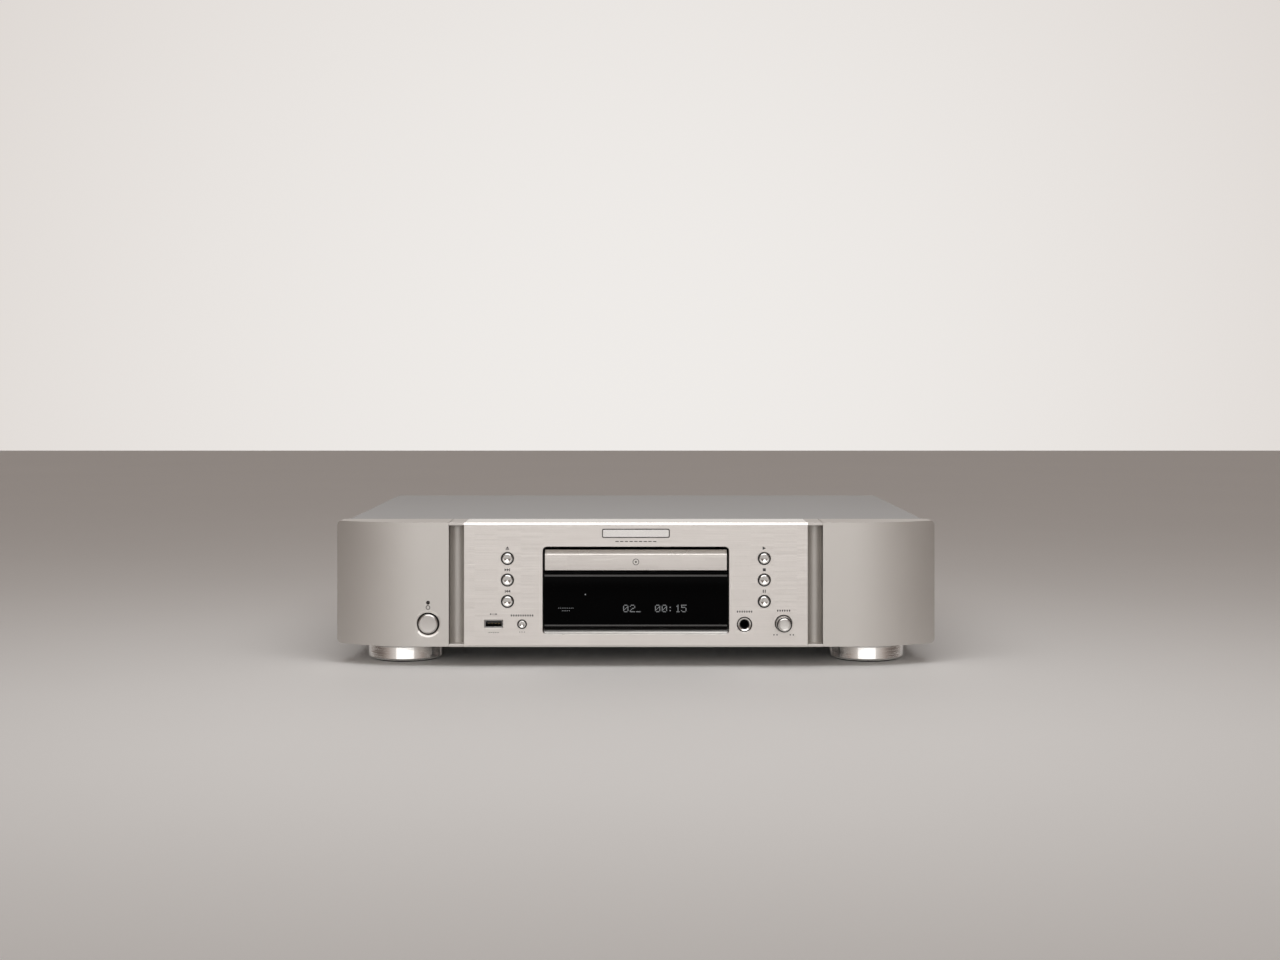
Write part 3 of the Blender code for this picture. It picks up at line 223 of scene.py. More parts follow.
def satin(name, colour, roughness, metallic=1.0):
    """Bead-blasted and anodised metal: an even satin with a fine grain."""
    finish = Finish(name, colour, roughness, metallic)
    cloud = finish.noise(25.0, 3.0)
    grit = finish.noise(5200.0, 2.0)
    finish.bump(grit, 0.10, 0.00004)
    finish.shade(cloud, 0.97, 1.03)
    return finish.put("Roughness", cloud * 0.06 + (roughness - 0.03))


def spun(name, colour, roughness, amount, dish):
    """Metal turned round the piece's own Y axis, hollowed to a shallow cone of radius dish."""
    finish = Finish(name, colour, roughness, 1.0)
    flat = finish.vector("MULTIPLY", finish.place(), (1, 0, 1))
    outward = finish.node("VectorMath", {"operation": "NORMALIZE"}, {0: flat})
    reach = finish.node("VectorMath", {"operation": "LENGTH"}, {0: flat}, output=1)
    ring = finish.node("TexWhiteNoise", {"noise_dimensions": "1D"},
                       {"W": finish.maths("FLOOR", reach * 14000.0, 0.0)})
    facing = {"vector_type": "VECTOR", "convert_from": "OBJECT", "convert_to": "WORLD"}
    outward = finish.node("VectorTransform", facing, {0: outward})
    inside = finish.maths("LESS_THAN", reach, dish)
    finish.grain(outward, ring + inside * DISH_LEAN, amount)
    wide = finish.node("TexNoise", {"noise_dimensions": "1D"}, {"W": reach * 900.0, "Scale": 1.0})
    return finish.shade(wide, 0.92, 1.05)


def moulded(name, colour, roughness):
    """Moulded plastic with a fine spark-eroded texture."""
    finish = Finish(name, colour, roughness)
    grain = finish.noise(2600.0, 3.0)
    cloud = finish.noise(40.0, 2.0)
    finish.bump(grain, 0.25, 0.00008)
    finish.shade(cloud, 0.88, 1.12)
    return finish.put("Roughness", grain * 0.16 + (roughness - 0.08))


def enamel(name, colour, roughness, metallic):
    """Satin enamel sprayed on sheet steel, with a slight orange peel."""
    finish = Finish(name, colour, roughness, metallic, specular_ior_level=0.25)
    peel = finish.noise(1500.0, 2.0)
    cloud = finish.noise(9.0, 4.0)
    finish.bump(peel, 0.08, 0.00005)
    finish.shade(cloud, 0.97, 1.03)
    return finish.put("Roughness", cloud * 0.08 + (roughness - 0.04))


def plated(name, colour, roughness):
    """Plated metal with faint polishing marks and rub marks."""
    finish = Finish(name, colour, roughness, 1.0)
    rub = finish.noise((40.0, 40.0, 300.0), 4.0)
    finish.shade(rub, 0.94, 1.04)
    return finish.put("Roughness", rub * 0.10 + (roughness - 0.03))


def lathed(name, colour, roughness, amount):
    """Bright metal turned round its own Z axis, whose rings draw its highlights out upward."""
    finish = Finish(name, colour, roughness, 1.0)
    rings = finish.speckle((0.0, 0.0, 20000.0))
    finish.grain(UP, rings + LATHE_LEAN, amount)
    wide = finish.noise((0.0, 0.0, 1400.0), 3.0)
    finish.shade(wide, 0.9, 1.04)
    return finish.put("Roughness", wide * 0.06 + (roughness - 0.02))


def smoked():
    """Glossy smoked black of the window."""
    finish = Finish("smoked_window", (0.0012, 0.0012, 0.0013), 0.07, specular_ior_level=0.02)
    haze = finish.noise(30.0, 3.0)
    return finish.put("Roughness", haze * 0.05 + 0.05)


def laminate():
    """Green lacquered circuit board with tracks under the lacquer."""
    finish = Finish("board_lacquer", (0.02, 0.10, 0.04), 0.35, 0.0)
    cells = finish.vector("MULTIPLY", finish.place(), (220.0, 220.0, 220.0))
    tracks = finish.node("TexBrick", {"offset": 0.5, "squash": 1.0}, {
        "Vector": cells, "Color1": (0.015, 0.085, 0.03, 1), "Color2": (0.02, 0.11, 0.045, 1),
        "Mortar": (0.05, 0.17, 0.07, 1), "Scale": 1.0, "Mortar Size": 0.06})
    return finish.put("Base Color", tracks)


def winding():
    """Copper winding under clear tape: fine turns round the core."""
    finish = Finish("winding_tape", (0.42, 0.20, 0.08), 0.3, 0.7, coat_weight=0.6)
    turns = finish.noise((600.0, 600.0, 20.0), 2.0)
    finish.bump(turns, 0.4, 0.0004)
    return finish.shade(turns, 0.55, 1.2)


def zinc(name, colour, roughness):
    """Zinc-plated sheet with its faint crystal cloud."""
    finish = Finish(name, colour, roughness, 1.0)
    flakes = finish.node("TexVoronoi", {"feature": "F1"}, {
        "Vector": finish.vector("MULTIPLY", finish.place(), (140.0, 140.0, 140.0)), "Scale": 1.0})
    finish.shade(flakes, 0.86, 1.06)
    return finish.put("Roughness", flakes * 0.15 + (roughness - 0.08))


def ink(name, colour):
    """Printed ink with slightly uneven cover."""
    finish = Finish(name, colour, 0.6)
    return finish.shade(finish.noise(3000.0, 2.0), 0.85, 1.15)


def lit(name, colour, strength):
    """The glow of display segments, its strength varying a little at random."""
    finish = Finish(name, (0.02, 0.02, 0.02), 0.4)
    flicker = finish.noise(900.0, 1.0)
    dim = tuple(value * 0.8 for value in colour)
    finish.put("Emission Color", finish.mix(flicker, dim, colour))
    return finish.put("Emission Strength", strength)


FINISHES = {
    "plate": brushed("brushed_plate", (0.765, 0.735, 0.71), 0.40, 0.22),
    "wing": satin("satin_wing", (0.68, 0.66, 0.635), 0.47),
    "sill": satin("satin_sill", (0.80, 0.785, 0.76), 0.30),
    # a darker copy of the wing's satin: painted shade for the recessed grooves
    "groove": satin("groove_painted_shade", (0.56, 0.54, 0.515), 0.5),
    # bright satin: the jack's bright mouth, and a painted highlight on the frame's top and on sloping
    # rims
    "edge": satin("bright_metal_and_painted_highlight", (0.88, 0.86, 0.83), 0.28),
    "door": brushed("satin_door", (0.70, 0.67, 0.645), 0.34, 0.20),
    "spun": spun("spun_cap", (0.82, 0.81, 0.795), 0.20, 0.34, 0.0024),
    "knob": spun("turned_knob", (0.72, 0.705, 0.685), 0.30, 0.3, 0.0),
    "knob_side": satin("turned_side", (0.66, 0.64, 0.62), 0.30),
    "cover": enamel("cover_enamel", (0.40, 0.405, 0.41), 0.5, 0.2),
    "chrome": lathed("turned_foot", (0.92, 0.915, 0.905), 0.09, 0.12),
    "badge": satin("polished_badge", (0.90, 0.89, 0.88), 0.26),
    "steel": plated("turned_steel", (0.62, 0.62, 0.61), 0.25),
    "gold": plated("gold_plate", (0.85, 0.62, 0.28), 0.22),
    "zinc": zinc("zinc_sheet", (0.46, 0.47, 0.48), 0.42),
    "panel": enamel("panel_enamel", (0.025, 0.025, 0.027), 0.5, 0.0),
    "window": smoked(),
    "black": moulded("moulded_black", (0.018, 0.018, 0.019), 0.5),
    # the darkest black: black parts in recesses, and painted shade in the gaps round the buttons and the
    # knob
    "dark": moulded("black_and_painted_shade", (0.006, 0.006, 0.007), 0.6),
    "white": moulded("natural_plastic", (0.62, 0.60, 0.54), 0.45),
    "red": moulded("red_ring", (0.45, 0.02, 0.02), 0.4),
    "rubber": moulded("pad_rubber", (0.012, 0.012, 0.012), 0.85),
    "board": laminate(),
    "winding": winding(),
    "lens": Finish("coated_lens", (0.25, 0.18, 0.42), 0.05, 0.3, coat_weight=1.0),
    "glass": Finish("display_glass", (0.015, 0.016, 0.018), 0.08, 0.0, coat_weight=0.5),
    "lamp": Finish("lamp_lens", (0.012, 0.003, 0.003), 0.18, 0.0, coat_weight=0.5),
    "ink": ink("printed_grey", (0.045, 0.045, 0.047)),
    "digits": lit("display_dots", (0.62, 0.64, 0.66), 0.42),
    # grey satin bands on the black window: painted highlights along its rolled top and bottom
    "window_painted_highlight": satin("window_painted_highlight", (0.085, 0.085, 0.085), 0.35, 0.6),
}
for key, scale, detail, spread in (("lens", 400.0, 1.0, 0.3), ("glass", 60.0, 2.0, 0.2),
                                   ("lamp", 900.0, 2.0, 0.2)):
    FINISHES[key].shade(FINISHES[key].noise(scale, detail), 1 - spread, 1 + spread)


# ---- Making pieces ----

SHARP_FROM = math.radians(30)  # a steeper turn between two faces is an edge
WELD = 0.000002  # points closer than this are one point


def finish_piece(piece, finish, body, replaces=()):
    """Give a piece its material, and tie it to the frame."""
    piece.data.materials.clear()
    piece.data.materials.append(FINISHES[finish].material)
    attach(piece, body)
    if replaces:
        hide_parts(*replaces)
    return piece


def on_case(piece, finish, slot, *replaces):
    """Finish a piece that belongs to the case."""
    return finish_piece(piece, finish, "case", replaces)


def paint_rim_highlights(piece):
    """Paint a panel's narrow forward-sloping rims with the brighter satin, a painted highlight where they
    catch the light.
    """
    piece.data.materials.append(FINISHES["edge"].material)
    for polygon in piece.data.polygons:
        if 0.25 < abs(polygon.normal.z) < 0.97 and polygon.normal.y < -0.1:
            polygon.material_index = 1
    return piece


def add_piece(name, shape, place=(0, 0, 0), even=True):
    """Link an object that holds the bmesh, its flat faces flat and its round faces smooth."""
    mesh = bpy.data.meshes.new(name)
    bmesh.ops.recalc_face_normals(shape, faces=shape.faces)
    shape.to_mesh(mesh)
    shape.free()
    piece = bpy.data.objects.new(name, mesh)
    bpy.context.scene.collection.objects.link(piece)
    piece.location = place
    mesh.shade_smooth()
    mesh.set_sharp_from_angle(angle=SHARP_FROM)
    if even:
        weigh(piece)
    return piece


def weigh(piece):
    """Let large faces set the shading at their rims, so that flat faces look flat."""
    weighted = piece.modifiers.new("even_shading", "WEIGHTED_NORMAL")
    weighted.keep_sharp = True
    weighted.weight = 90


def arc(x, y, radius, start, end, steps):
    turns = [math.radians(start + (end - start) * step / steps) for step in range(steps + 1)]
    return [(x + radius * math.cos(turn), y + radius * math.sin(turn)) for turn in turns]


def circle(x, y, radius, sides=64):
    return arc(x, y, radius, 0, 360, sides)[:-1]


def rectangle(left, right, low, high):
    return [(left, low), (right, low), (right, high), (left, high)]


def rounded(left, right, low, high, radius, steps=8):
    points = []
    for x, y, start in ((right, low, -90), (right, high, 0), (left, high, 90), (left, low, 180)):
        middle_x = x - math.copysign(radius, x - (left + right) / 2)
        middle_y = y - math.copysign(radius, y - (low + high) / 2)
        points += arc(middle_x, middle_y, radius, start, start + 90, steps)
    return points


def soften(points, radius, steps=4, closed=False):
    """Round the corners of a line of points."""
    count = len(points)
    result = []
    for index, point in enumerate(points):
        if not closed and index in (0, count - 1):
            result.append(tuple(point))
            continue
        here = Vector(point)
        back = Vector(points[index - 1]) - here
        on = Vector(points[(index + 1) % count]) - here
        turn = back.angle(on, math.pi)
        if turn > math.radians(165) or min(back.length, on.length) < radius * 0.5:
            result.append(tuple(point))
            continue
        reach = min(radius / math.tan(turn / 2), back.length * 0.48, on.length * 0.48)
        start, end = here + back.normalized() * reach, here + on.normalized() * reach
        for step in range(steps + 1):
            share = step / steps
            first, last = start.lerp(here, share), here.lerp(end, share)
            result.append(tuple(first.lerp(last, share)))
    return result


FACING = {
    "Z": Matrix.Identity(4),
    "Y": Matrix.Rotation(math.radians(90), 4, "X"),
    "X": Matrix(((0, 0, 1, 0), (1, 0, 0, 0), (0, 1, 0, 0), (0, 0, 0, 1))),
}


def slab_shape(outlines, axis, low, high, edge=0.0):
    """A flat shape with holes and rounded rims, as a bmesh in the frame's axes."""
    curve = bpy.data.curves.new("outline", "CURVE")
    curve.dimensions = "2D"
    curve.fill_mode = "BOTH"
    curve.extrude = (high - low) / 2 - edge
    curve.bevel_depth = edge
    curve.bevel_resolution = 0
    curve.offset = -edge
    for outline in outlines:
        spline = curve.splines.new("POLY")
        spline.points.add(len(outline) - 1)
        for point, (across, up) in zip(spline.points, outline):
            point.co = (across, up, 0, 1)
        spline.use_cyclic_u = True
    guide = bpy.data.objects.new("outline", curve)
    mesh = bpy.data.meshes.new_from_object(guide)
    bpy.data.objects.remove(guide)
    bpy.data.curves.remove(curve)
    middle = (low + high) / 2
    place = {"Z": (0, 0, middle), "Y": (0, middle, 0), "X": (middle, 0, 0)}[axis]
    mesh.transform(Matrix.Translation(place) @ FACING[axis])
    shape = bmesh.new()
    shape.from_mesh(mesh)
    bpy.data.meshes.remove(mesh)
    bmesh.ops.remove_doubles(shape, verts=shape.verts, dist=WELD)
    return shape


def slab(name, outlines, axis, low, high, edge=0.0):
    return add_piece(name, slab_shape(outlines, axis, low, high, edge), even=False)


def add_slab(shape, loops, near, far):
    """Add a slab between two depths to a shape."""
    part = slab_shape(loops, "Y", near, far)
    mesh = bpy.data.meshes.new("slab")
    part.to_mesh(mesh)
    part.free()
    shape.from_mesh(mesh)
    bpy.data.meshes.remove(mesh)


def block(name, low, high, edge=0.0003, steps=2):
    """A box with rounded edges."""
    size = Vector(high) - Vector(low)
    shape = bmesh.new()
    bmesh.ops.create_cube(shape, size=1.0)
    bmesh.ops.scale(shape, vec=size, verts=shape.verts)
    bmesh.ops.translate(shape, vec=Vector(low) + size / 2, verts=shape.verts)
    if edge:
        bmesh.ops.bevel(shape, geom=shape.edges[:], offset=edge, segments=steps, profile=0.5,
                        affect="EDGES", clamp_overlap=True)
    return add_piece(name, shape)


def lathe(name, profile, place, axis="Z", sides=96, edge=0.0):
    """A turned piece. The profile is (reach, radius): reach is along the axis from place, and
    the origin stays at place, on the axis."""
    points = soften(profile, edge) if edge else profile
    shape = bmesh.new()
    verts = [shape.verts.new((radius, 0, reach)) for reach, radius in points]
    edges = [shape.edges.new(pair) for pair in zip(verts, verts[1:])]
    bmesh.ops.spin(shape, geom=verts + edges, cent=(0, 0, 0), axis=(0, 0, 1), dvec=(0, 0, 0),
                   angle=math.tau, steps=sides, use_merge=True)
    bmesh.ops.remove_doubles(shape, verts=shape.verts, dist=WELD)
    if axis == "Y":
        turn = Matrix.Rotation(math.radians(-90), 4, "X")
        bmesh.ops.transform(shape, matrix=turn, verts=shape.verts)
    return add_piece(name, shape, place)


def settle(piece):
    """Apply a piece's modifiers for good, and mark its sharp edges again."""
    shading = piece.modifiers.get("even_shading") is not None
    if shading:
        piece.modifiers.remove(piece.modifiers["even_shading"])
    bpy.context.view_layer.update()
    done = piece.evaluated_get(bpy.context.evaluated_depsgraph_get())
    mesh = bpy.data.meshes.new_from_object(done)
    old = piece.data
    piece.modifiers.clear()
    if shading:
        weigh(piece)
    piece.data = mesh
    mesh.name = piece.name
    if "custom_normal" in mesh.attributes:
        mesh.attributes.remove(mesh.attributes["custom_normal"])
    bpy.data.meshes.remove(old)
    mesh.shade_smooth()
    mesh.set_sharp_from_angle(angle=SHARP_FROM)


def carve(piece, cutter):
    """Cut one piece's mesh with another, for good."""
    step = piece.modifiers.new("cut", "BOOLEAN")
    step.operation = "DIFFERENCE"
    step.solver = "EXACT"
    step.object = cutter
    settle(piece)
    bpy.data.objects.remove(cutter)


def middle_of(node):
    low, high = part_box(node)
    return (low + high) / 2


def turned(node, name, profile, sides, edge=0.0, face=FACE):
    """A turned piece on a node's axis, its profile measured back from the face."""
    centre = middle_of(node)
    return lathe(name, profile, (centre.x, face, centre.z), "Y", sides, edge)


def ring_profile(near, far, inner, outer):
    return [(near, inner), (near, outer), (far, outer), (far, inner), (near, inner)]


# ---- Camera, light and floor ----


LENS = 52.4  # millimetres, on a sensor 36 mm wide
LENS_SHIFT = -0.078  # the view is level, and looks down by a shift of the lens
EYE = (0.003, FACE - 1.349, 0.2083)
WALL_FALLOFF = 2.5
WALL_LIGHT = 0.72
ROOM_LIGHT = 0.14


def camera():
    view = bpy.data.cameras.new("view")
    view.lens = LENS
    view.sensor_width = 36.0
    view.shift_y = LENS_SHIFT
    view.clip_start = 0.01
    eye = bpy.data.objects.new("view", view)
    eye.location = EYE
    eye.rotation_euler = (math.radians(90), 0, 0)
    bpy.context.scene.collection.objects.link(eye)
    bpy.context.scene.camera = eye


def softbox(name, place, target, width, height, power, colour):
    light = bpy.data.lights.new(name, "AREA")
    light.shape = "RECTANGLE"
    light.size = width
    light.size_y = height
    light.energy = power
    light.color = colour
    lamp = bpy.data.objects.new(name, light)
    lamp.location = place
    lamp.rotation_euler = (Vector(target) - Vector(place)).to_track_quat("-Z", "Y").to_euler()
    bpy.context.scene.collection.objects.link(lamp)


def walls():
    """A room with pale walls before and behind the player, and darker ones to its sides."""
    world = bpy.data.worlds.new("studio")
    world.use_nodes = True
    nodes, links = world.node_tree.nodes, world.node_tree.links
    towards = nodes.new("ShaderNodeTexCoord").outputs["Generated"]
    parts = nodes.new("ShaderNodeSeparateXYZ")
    links.new(towards, parts.inputs[0])
    steps = (("ABSOLUTE", 0.0), ("POWER", WALL_FALLOFF), ("MULTIPLY", WALL_LIGHT), ("ADD", ROOM_LIGHT))
    value = parts.outputs["Y"]
    for operation, amount in steps:
        step = nodes.new("ShaderNodeMath")
        step.operation = operation
        links.new(value, step.inputs[0])
        step.inputs[1].default_value = amount
        value = step.outputs[0]
    background = nodes["Background"]
    tint = nodes.new("ShaderNodeMix")
    tint.data_type = "RGBA"
    tint.inputs[6].default_value = (1.0, 0.78, 0.66, 1)
    tint.inputs[7].default_value = (1.0, 1.0, 0.985, 1)
    links.new(value, tint.inputs[0])
    links.new(tint.outputs[2], background.inputs["Color"])
    links.new(value, background.inputs["Strength"])
    bpy.context.scene.world = world


def studio():
    walls()
    bpy.context.scene.view_settings.view_transform = "Standard"
    middle = (0, 0, 0.05)
    softbox("overhead", (0.0, -0.50, 0.75), middle, width=1.0, height=0.5, power=3.6,
            colour=(1.0, 1.0, 0.995))
    softbox("front", (0.0, -2.6, 0.55), middle, width=2.6, height=1.5, power=7.0,
            colour=(1.0, 0.995, 0.985))
    shape = bmesh.new()
    bmesh.ops.create_grid(shape, x_segments=8, y_segments=8, size=4.0)
    mesh = bpy.data.meshes.new("floor")
    shape.to_mesh(mesh)
    shape.free()
    floor = bpy.data.objects.new("floor", mesh)
    bpy.context.scene.collection.objects.link(floor)
    paper = Finish("floor_paper", (0.80, 0.80, 0.795), 0.7)
    paper.shade(paper.noise(3.0, 3.0), 0.98, 1.02)
    mesh.materials.append(paper.material)


# ---- Front ----

TRANSPORT = ("eject", "next", "previous", "play", "stop", "pause")


def front_plate():
    """The brushed plate, with a chamfer along its top and bottom, its slopes painted brighter as a
    highlight.
    """
    holes = [rounded(-OPENING_HALF, OPENING_HALF, OPENING_LOW, OPENING_HIGH, OPENING_CORNER)]
    bores = [(name + "_button", BUTTON_HOLE) for name in TRANSPORT]
    bores += [("input_button", INPUT_HOLE), ("level_knob", KNOB_HOLE), ("headphone_jack", JACK_HOLE)]
    for node, radius in bores:
        centre = middle_of(node)
        holes.append(circle(centre.x, centre.z, radius))
    centre = middle_of("usb_socket")
    holes.append(rounded(centre.x - USB_HALF, centre.x + USB_HALF, centre.z - USB_TALL,
                         centre.z + USB_TALL, 0.0004, 3))
    outline = rectangle(PLATE_LOW.x, PLATE_HIGH.x, BASE, TOP)
    plate = slab("front_plate_skin", [outline, *holes], "Y", PLATE_LOW.y, PLATE_HIGH.y, 0.00025)
    for name, z, away in (("top", TOP, 1), ("bottom", BASE, -1)):
        rise, back = PLATE_CHAMFER * away, PLATE_CHAMFER * math.tan(math.radians(CHAMFER_TILT))
        corner = [(FACE - back, z - 2 * rise), (FACE + 2 * back, z + rise), (FACE - back, z + rise)]
        carve(plate, slab(name + "_chamfer", [corner], "X", PLATE_LOW.x - 0.01, PLATE_HIGH.x + 0.01))
    paint_rim_highlights(on_case(plate, "plate", "front_silver", "front_plate"))


def front_frame():
    """The front frame: a bridge over the top, a floor, and grooves with lips."""
    depth = FRAME_HIGH.y
    front = FRAME_FRONT
    half = FRAME_HIGH.x
    outline = soften(rectangle(-PLATE_HIGH.x, PLATE_HIGH.x, front, depth), 0.0004, 2, True)
    bridge = slab("frame_bridge", [outline], "Z", TOP - FRAME_WALL, TOP, 0.0004)
    floor = slab("frame_floor", [outline], "Z", BASE, BASE + FRAME_WALL, 0.0004)
    # The bridge's top takes the bright satin: a painted highlight for the lit top.
    on_case(bridge, "edge", "wing_silver", "front_frame")
    on_case(floor, "wing", "wing_silver")
    radius = (half - PLATE_HIGH.x) / 2
    for side, name in ((-1, "left"), (1, "right")):
        near = side * (PLATE_HIGH.x + 0.0001)
        far = side * half
        middle = (near + far) / 2
        start = 180 if side > 0 else 0
        hollow = arc(middle, front + GROOVE_STEP, radius, start, 180 - start, 40)
        inner = near - side * FRAME_WALL
        wall = [(near, front), *hollow[1:-1], (far, front), (far, depth), (inner, depth), (inner, front)]
        channel = slab(name + "_groove", [wall], "Z", BASE + GROOVE_LIP, TOP - GROOVE_LIP)
        # The groove takes the darker satin: painted shade in the recessed channel.
        on_case(channel, "groove", "wing_silver")
        for end, low in (("top", TOP - GROOVE_LIP), ("bottom", BASE)):
            lip = rectangle(min(near, far), max(near, far), FRAME_LOW.y, depth)
            piece = slab(f"{name}_{end}_lip", [lip], "Z", low, low + GROOVE_LIP, 0.0003)
            on_case(piece, "wing", "wing_silver")


def window_sill():
    """The ledge that slopes from under the window to the plate, its lower corners rounded."""
    front, half = FRAME_FRONT, OPENING_HALF - GAP
    low, top = OPENING_LOW + GAP, WINDOW_LOW.z - GAP
    root, back = BASE + 0.003, front + 0.002
    slope = [(FACE + 0.0008, low), (front, low), (front, root), (back, root), (back, top)]
    slope.append((WINDOW_LOW.y + 0.003, top))
    sill = slab("window_sill", [soften(slope, 0.0003, 3, True)], "X", -half, half)
    turn = OPENING_CORNER
    middle_x, middle_z = OPENING_HALF - turn, OPENING_LOW + turn
    notch = [*arc(middle_x, middle_z, turn - GAP, -90, 0, 10), (middle_x + turn + PAST, middle_z)]
    notch += [(middle_x + turn + PAST, middle_z - turn - PAST), (middle_x, middle_z - turn - PAST)]
    for side in (-1, 1):
        corner = [(side * x, z) for x, z in notch]
        carve(sill, slab("corner", [corner], "Y", FACE - PAST, front))
    on_case(sill, "sill", "wing_silver")


def wing_outline(start, end, back, wall=0.0):
    """The wing seen from above: flat, then an arc that falls back to its outer end."""
    curve_start = WING_LOW.x + WING_FLAT
    span = WING_HIGH.x - curve_start
    radius = (span**2 + WING_SWEEP**2) / (2 * WING_SWEEP)
    face = WING_LOW.y + wall

    def fall(x):
        across = max(0.0, x - curve_start)
        return face + radius - math.sqrt(radius**2 - across**2)

    steps = 48
    points = [(start, back), (start, face)]
    points += [(x, fall(x)) for x in (curve_start + (end - curve_start) * step / steps
                                      for step in range(steps + 1))]
    return points + [(end, back)]


def wing(name, side):
    """A curved wing, its outer corners rounded and its rims eased."""
    outer = WING_HIGH.x
    outline = wing_outline(WING_LOW.x, outer, WING_HIGH.y)
    panel = slab(name + "_skin", [[(side * x, y) for x, y in outline]], "Z", BASE, TOP)
    for z, away in ((BASE, -1), (TOP, 1)):
        middle_x, middle_z = outer - WING_CORNER, z - away * WING_CORNER
        notch = [(outer + PAST, middle_z), *arc(middle_x, middle_z, WING_CORNER, 0, away * 90, 10)]
        notch += [(middle_x, z + away * PAST), (outer + PAST, z + away * PAST)]
        corner = [(side * x, height) for x, height in notch]
        carve(panel, slab("corner", [corner], "Y", FACE - PAST, WING_HIGH.y + PAST))
    ease = panel.modifiers.new("eased_rims", "BEVEL")
    ease.limit_method = "ANGLE"
    ease.angle_limit = math.radians(38)
    ease.width = WING_RIM
    ease.segments = 4
    settle(panel)
    wall = WING_WALL
    inside = wing_outline(WING_LOW.x + wall, outer - wall, WING_HIGH.y + 0.01, wall)
    room = [(side * x, y) for x, y in inside]
    carve(panel, slab(name + "_room", [room], "Z", BASE + wall, TOP - wall))
    weigh(panel)
    return panel


def power_controls(panel):
    """The power button in its shallow dish, and the lamp over it."""
    face = WING_LOW.y
    reach = (POWER_DISH - POWER_HOLE) * 0.4
    dish = [(-0.004, 0), (-0.004, POWER_DISH + 0.0004), (0.0, POWER_DISH), (reach, POWER_HOLE + 0.0002)]
    dish += [(reach + 0.0003, POWER_HOLE), (0.02, POWER_HOLE), (0.02, 0)]
    carve(panel, turned("power_button", "dish", dish, 96, face=face))
    bore = [(-0.004, 0), (-0.004, 0.0014), (0.02, 0.0014), (0.02, 0)]
    carve(panel, turned("power_lamp", "lamp_hole", bore, 32, face=face))
    front, back, stem = 0.0012, 0.010, 0.002
    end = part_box("power_button")[1].y - FACE
    cap = [(front + 0.0003, 0), (front, POWER_CAP - 0.0009), (front + 0.0008, POWER_CAP)]
    cap += [(back, POWER_CAP), (back, stem), (end, stem), (end, 0)]
    button = turned("power_button", "power_cap", cap, 96, 0.0003)
    finish_piece(button, "knob_side", "power_button", ["power_button"])
    lens = [(-0.0003, 0), (-0.0001, LAMP_RADIUS * 0.6), (0.0004, LAMP_RADIUS), (0.006, LAMP_RADIUS)]
    lens.append((0.006, 0))
    glow = turned("power_lamp", "lamp_lens_piece", lens, 32, 0.0001, face)
    on_case(glow, "lamp", "lamp_plastic", "power_lamp")


def button_cap(name, node, radius):
    """A turned cap with a shallow dish, its flange behind the plate and its stem."""
    low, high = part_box(node)
    front, end = low.y - FACE, high.y - FACE
    flange = (high.x - low.x) / 2
    skirt = PLATE_HIGH.y + GAP - FACE
    back, stem = skirt + 0.0014, 0.0015
    cap = [(front + 0.00035, 0), (front + 0.0002, radius * 0.5), (front, radius - 0.0006)]
    cap += [(front + 0.0005, radius), (skirt, radius), (skirt, flange), (back, flange)]
    cap += [(back, stem), (end, stem), (end, 0)]
    finish_piece(turned(node, name, cap, 72, 0.00015), "spun", node, [node])


def gap_shade_rings():
    """Very dark rings that fill the gaps round the buttons and the knob inside the plate's holes: painted
    shade, in the place of the guides behind the plate.
    """
    shape = bmesh.new()
    rings = [(name + "_button", BUTTON_CAP, BUTTON_HOLE) for name in TRANSPORT]
    rings += [("input_button", INPUT_CAP, INPUT_HOLE), ("level_knob", KNOB_RADIUS, KNOB_HOLE)]
    for node, inner, outer in rings:
        centre = middle_of(node)
        loops = [circle(centre.x, centre.z, outer - 0.00005), circle(centre.x, centre.z, inner + 0.00008)]
        add_slab(shape, loops, FACE + 0.00025, PLATE_HIGH.y - 0.0003)
    on_case(add_piece("button_gap_shade", shape), "dark", "front_silver")


def buttons():
    for name in TRANSPORT:
        button_cap(name + "_cap", name + "_button", BUTTON_CAP)
    button_cap("input_cap", "input_button", INPUT_CAP)


def level_knob():
    """The knob: a recessed face in a bright rim, a dark band painted as the shade of a gap, and a wider
    skirt.
    """
    low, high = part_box("level_knob")
    front, end = low.y - FACE, high.y - FACE
    bore, floor = 0.0033, 0.004 + front - GAP
    rim, shoulder = KNOB_RADIUS - 0.0009, front + 0.0014
    body = [(front + 0.0004, 0), (front + 0.0004, rim - 0.0013), (front + 0.0001, rim - 0.0010)]
    body += [(front, rim - 0.0007), (front + 0.0006, rim), (shoulder, rim)]
    body += [(shoulder, KNOB_RADIUS - 0.0002), (shoulder + 0.0002, KNOB_RADIUS), (end, KNOB_RADIUS)]
    body += [(end, bore), (floor, bore), (floor, 0)]
    knob = turned("level_knob", "level_knob_cap", body, 96, 0.00012)
    # A very dark band between the rim and the skirt: painted shade of a gap.
    band = ring_profile(front + 0.0007, shoulder, rim + 0.00005, KNOB_RADIUS - 0.0002)
    ring = turned("level_knob", "level_knob_shade_band", band, 96)
    finish_piece(ring, "dark", "level_knob")
    finish_piece(knob, "knob", "level_knob", ["level_knob"])


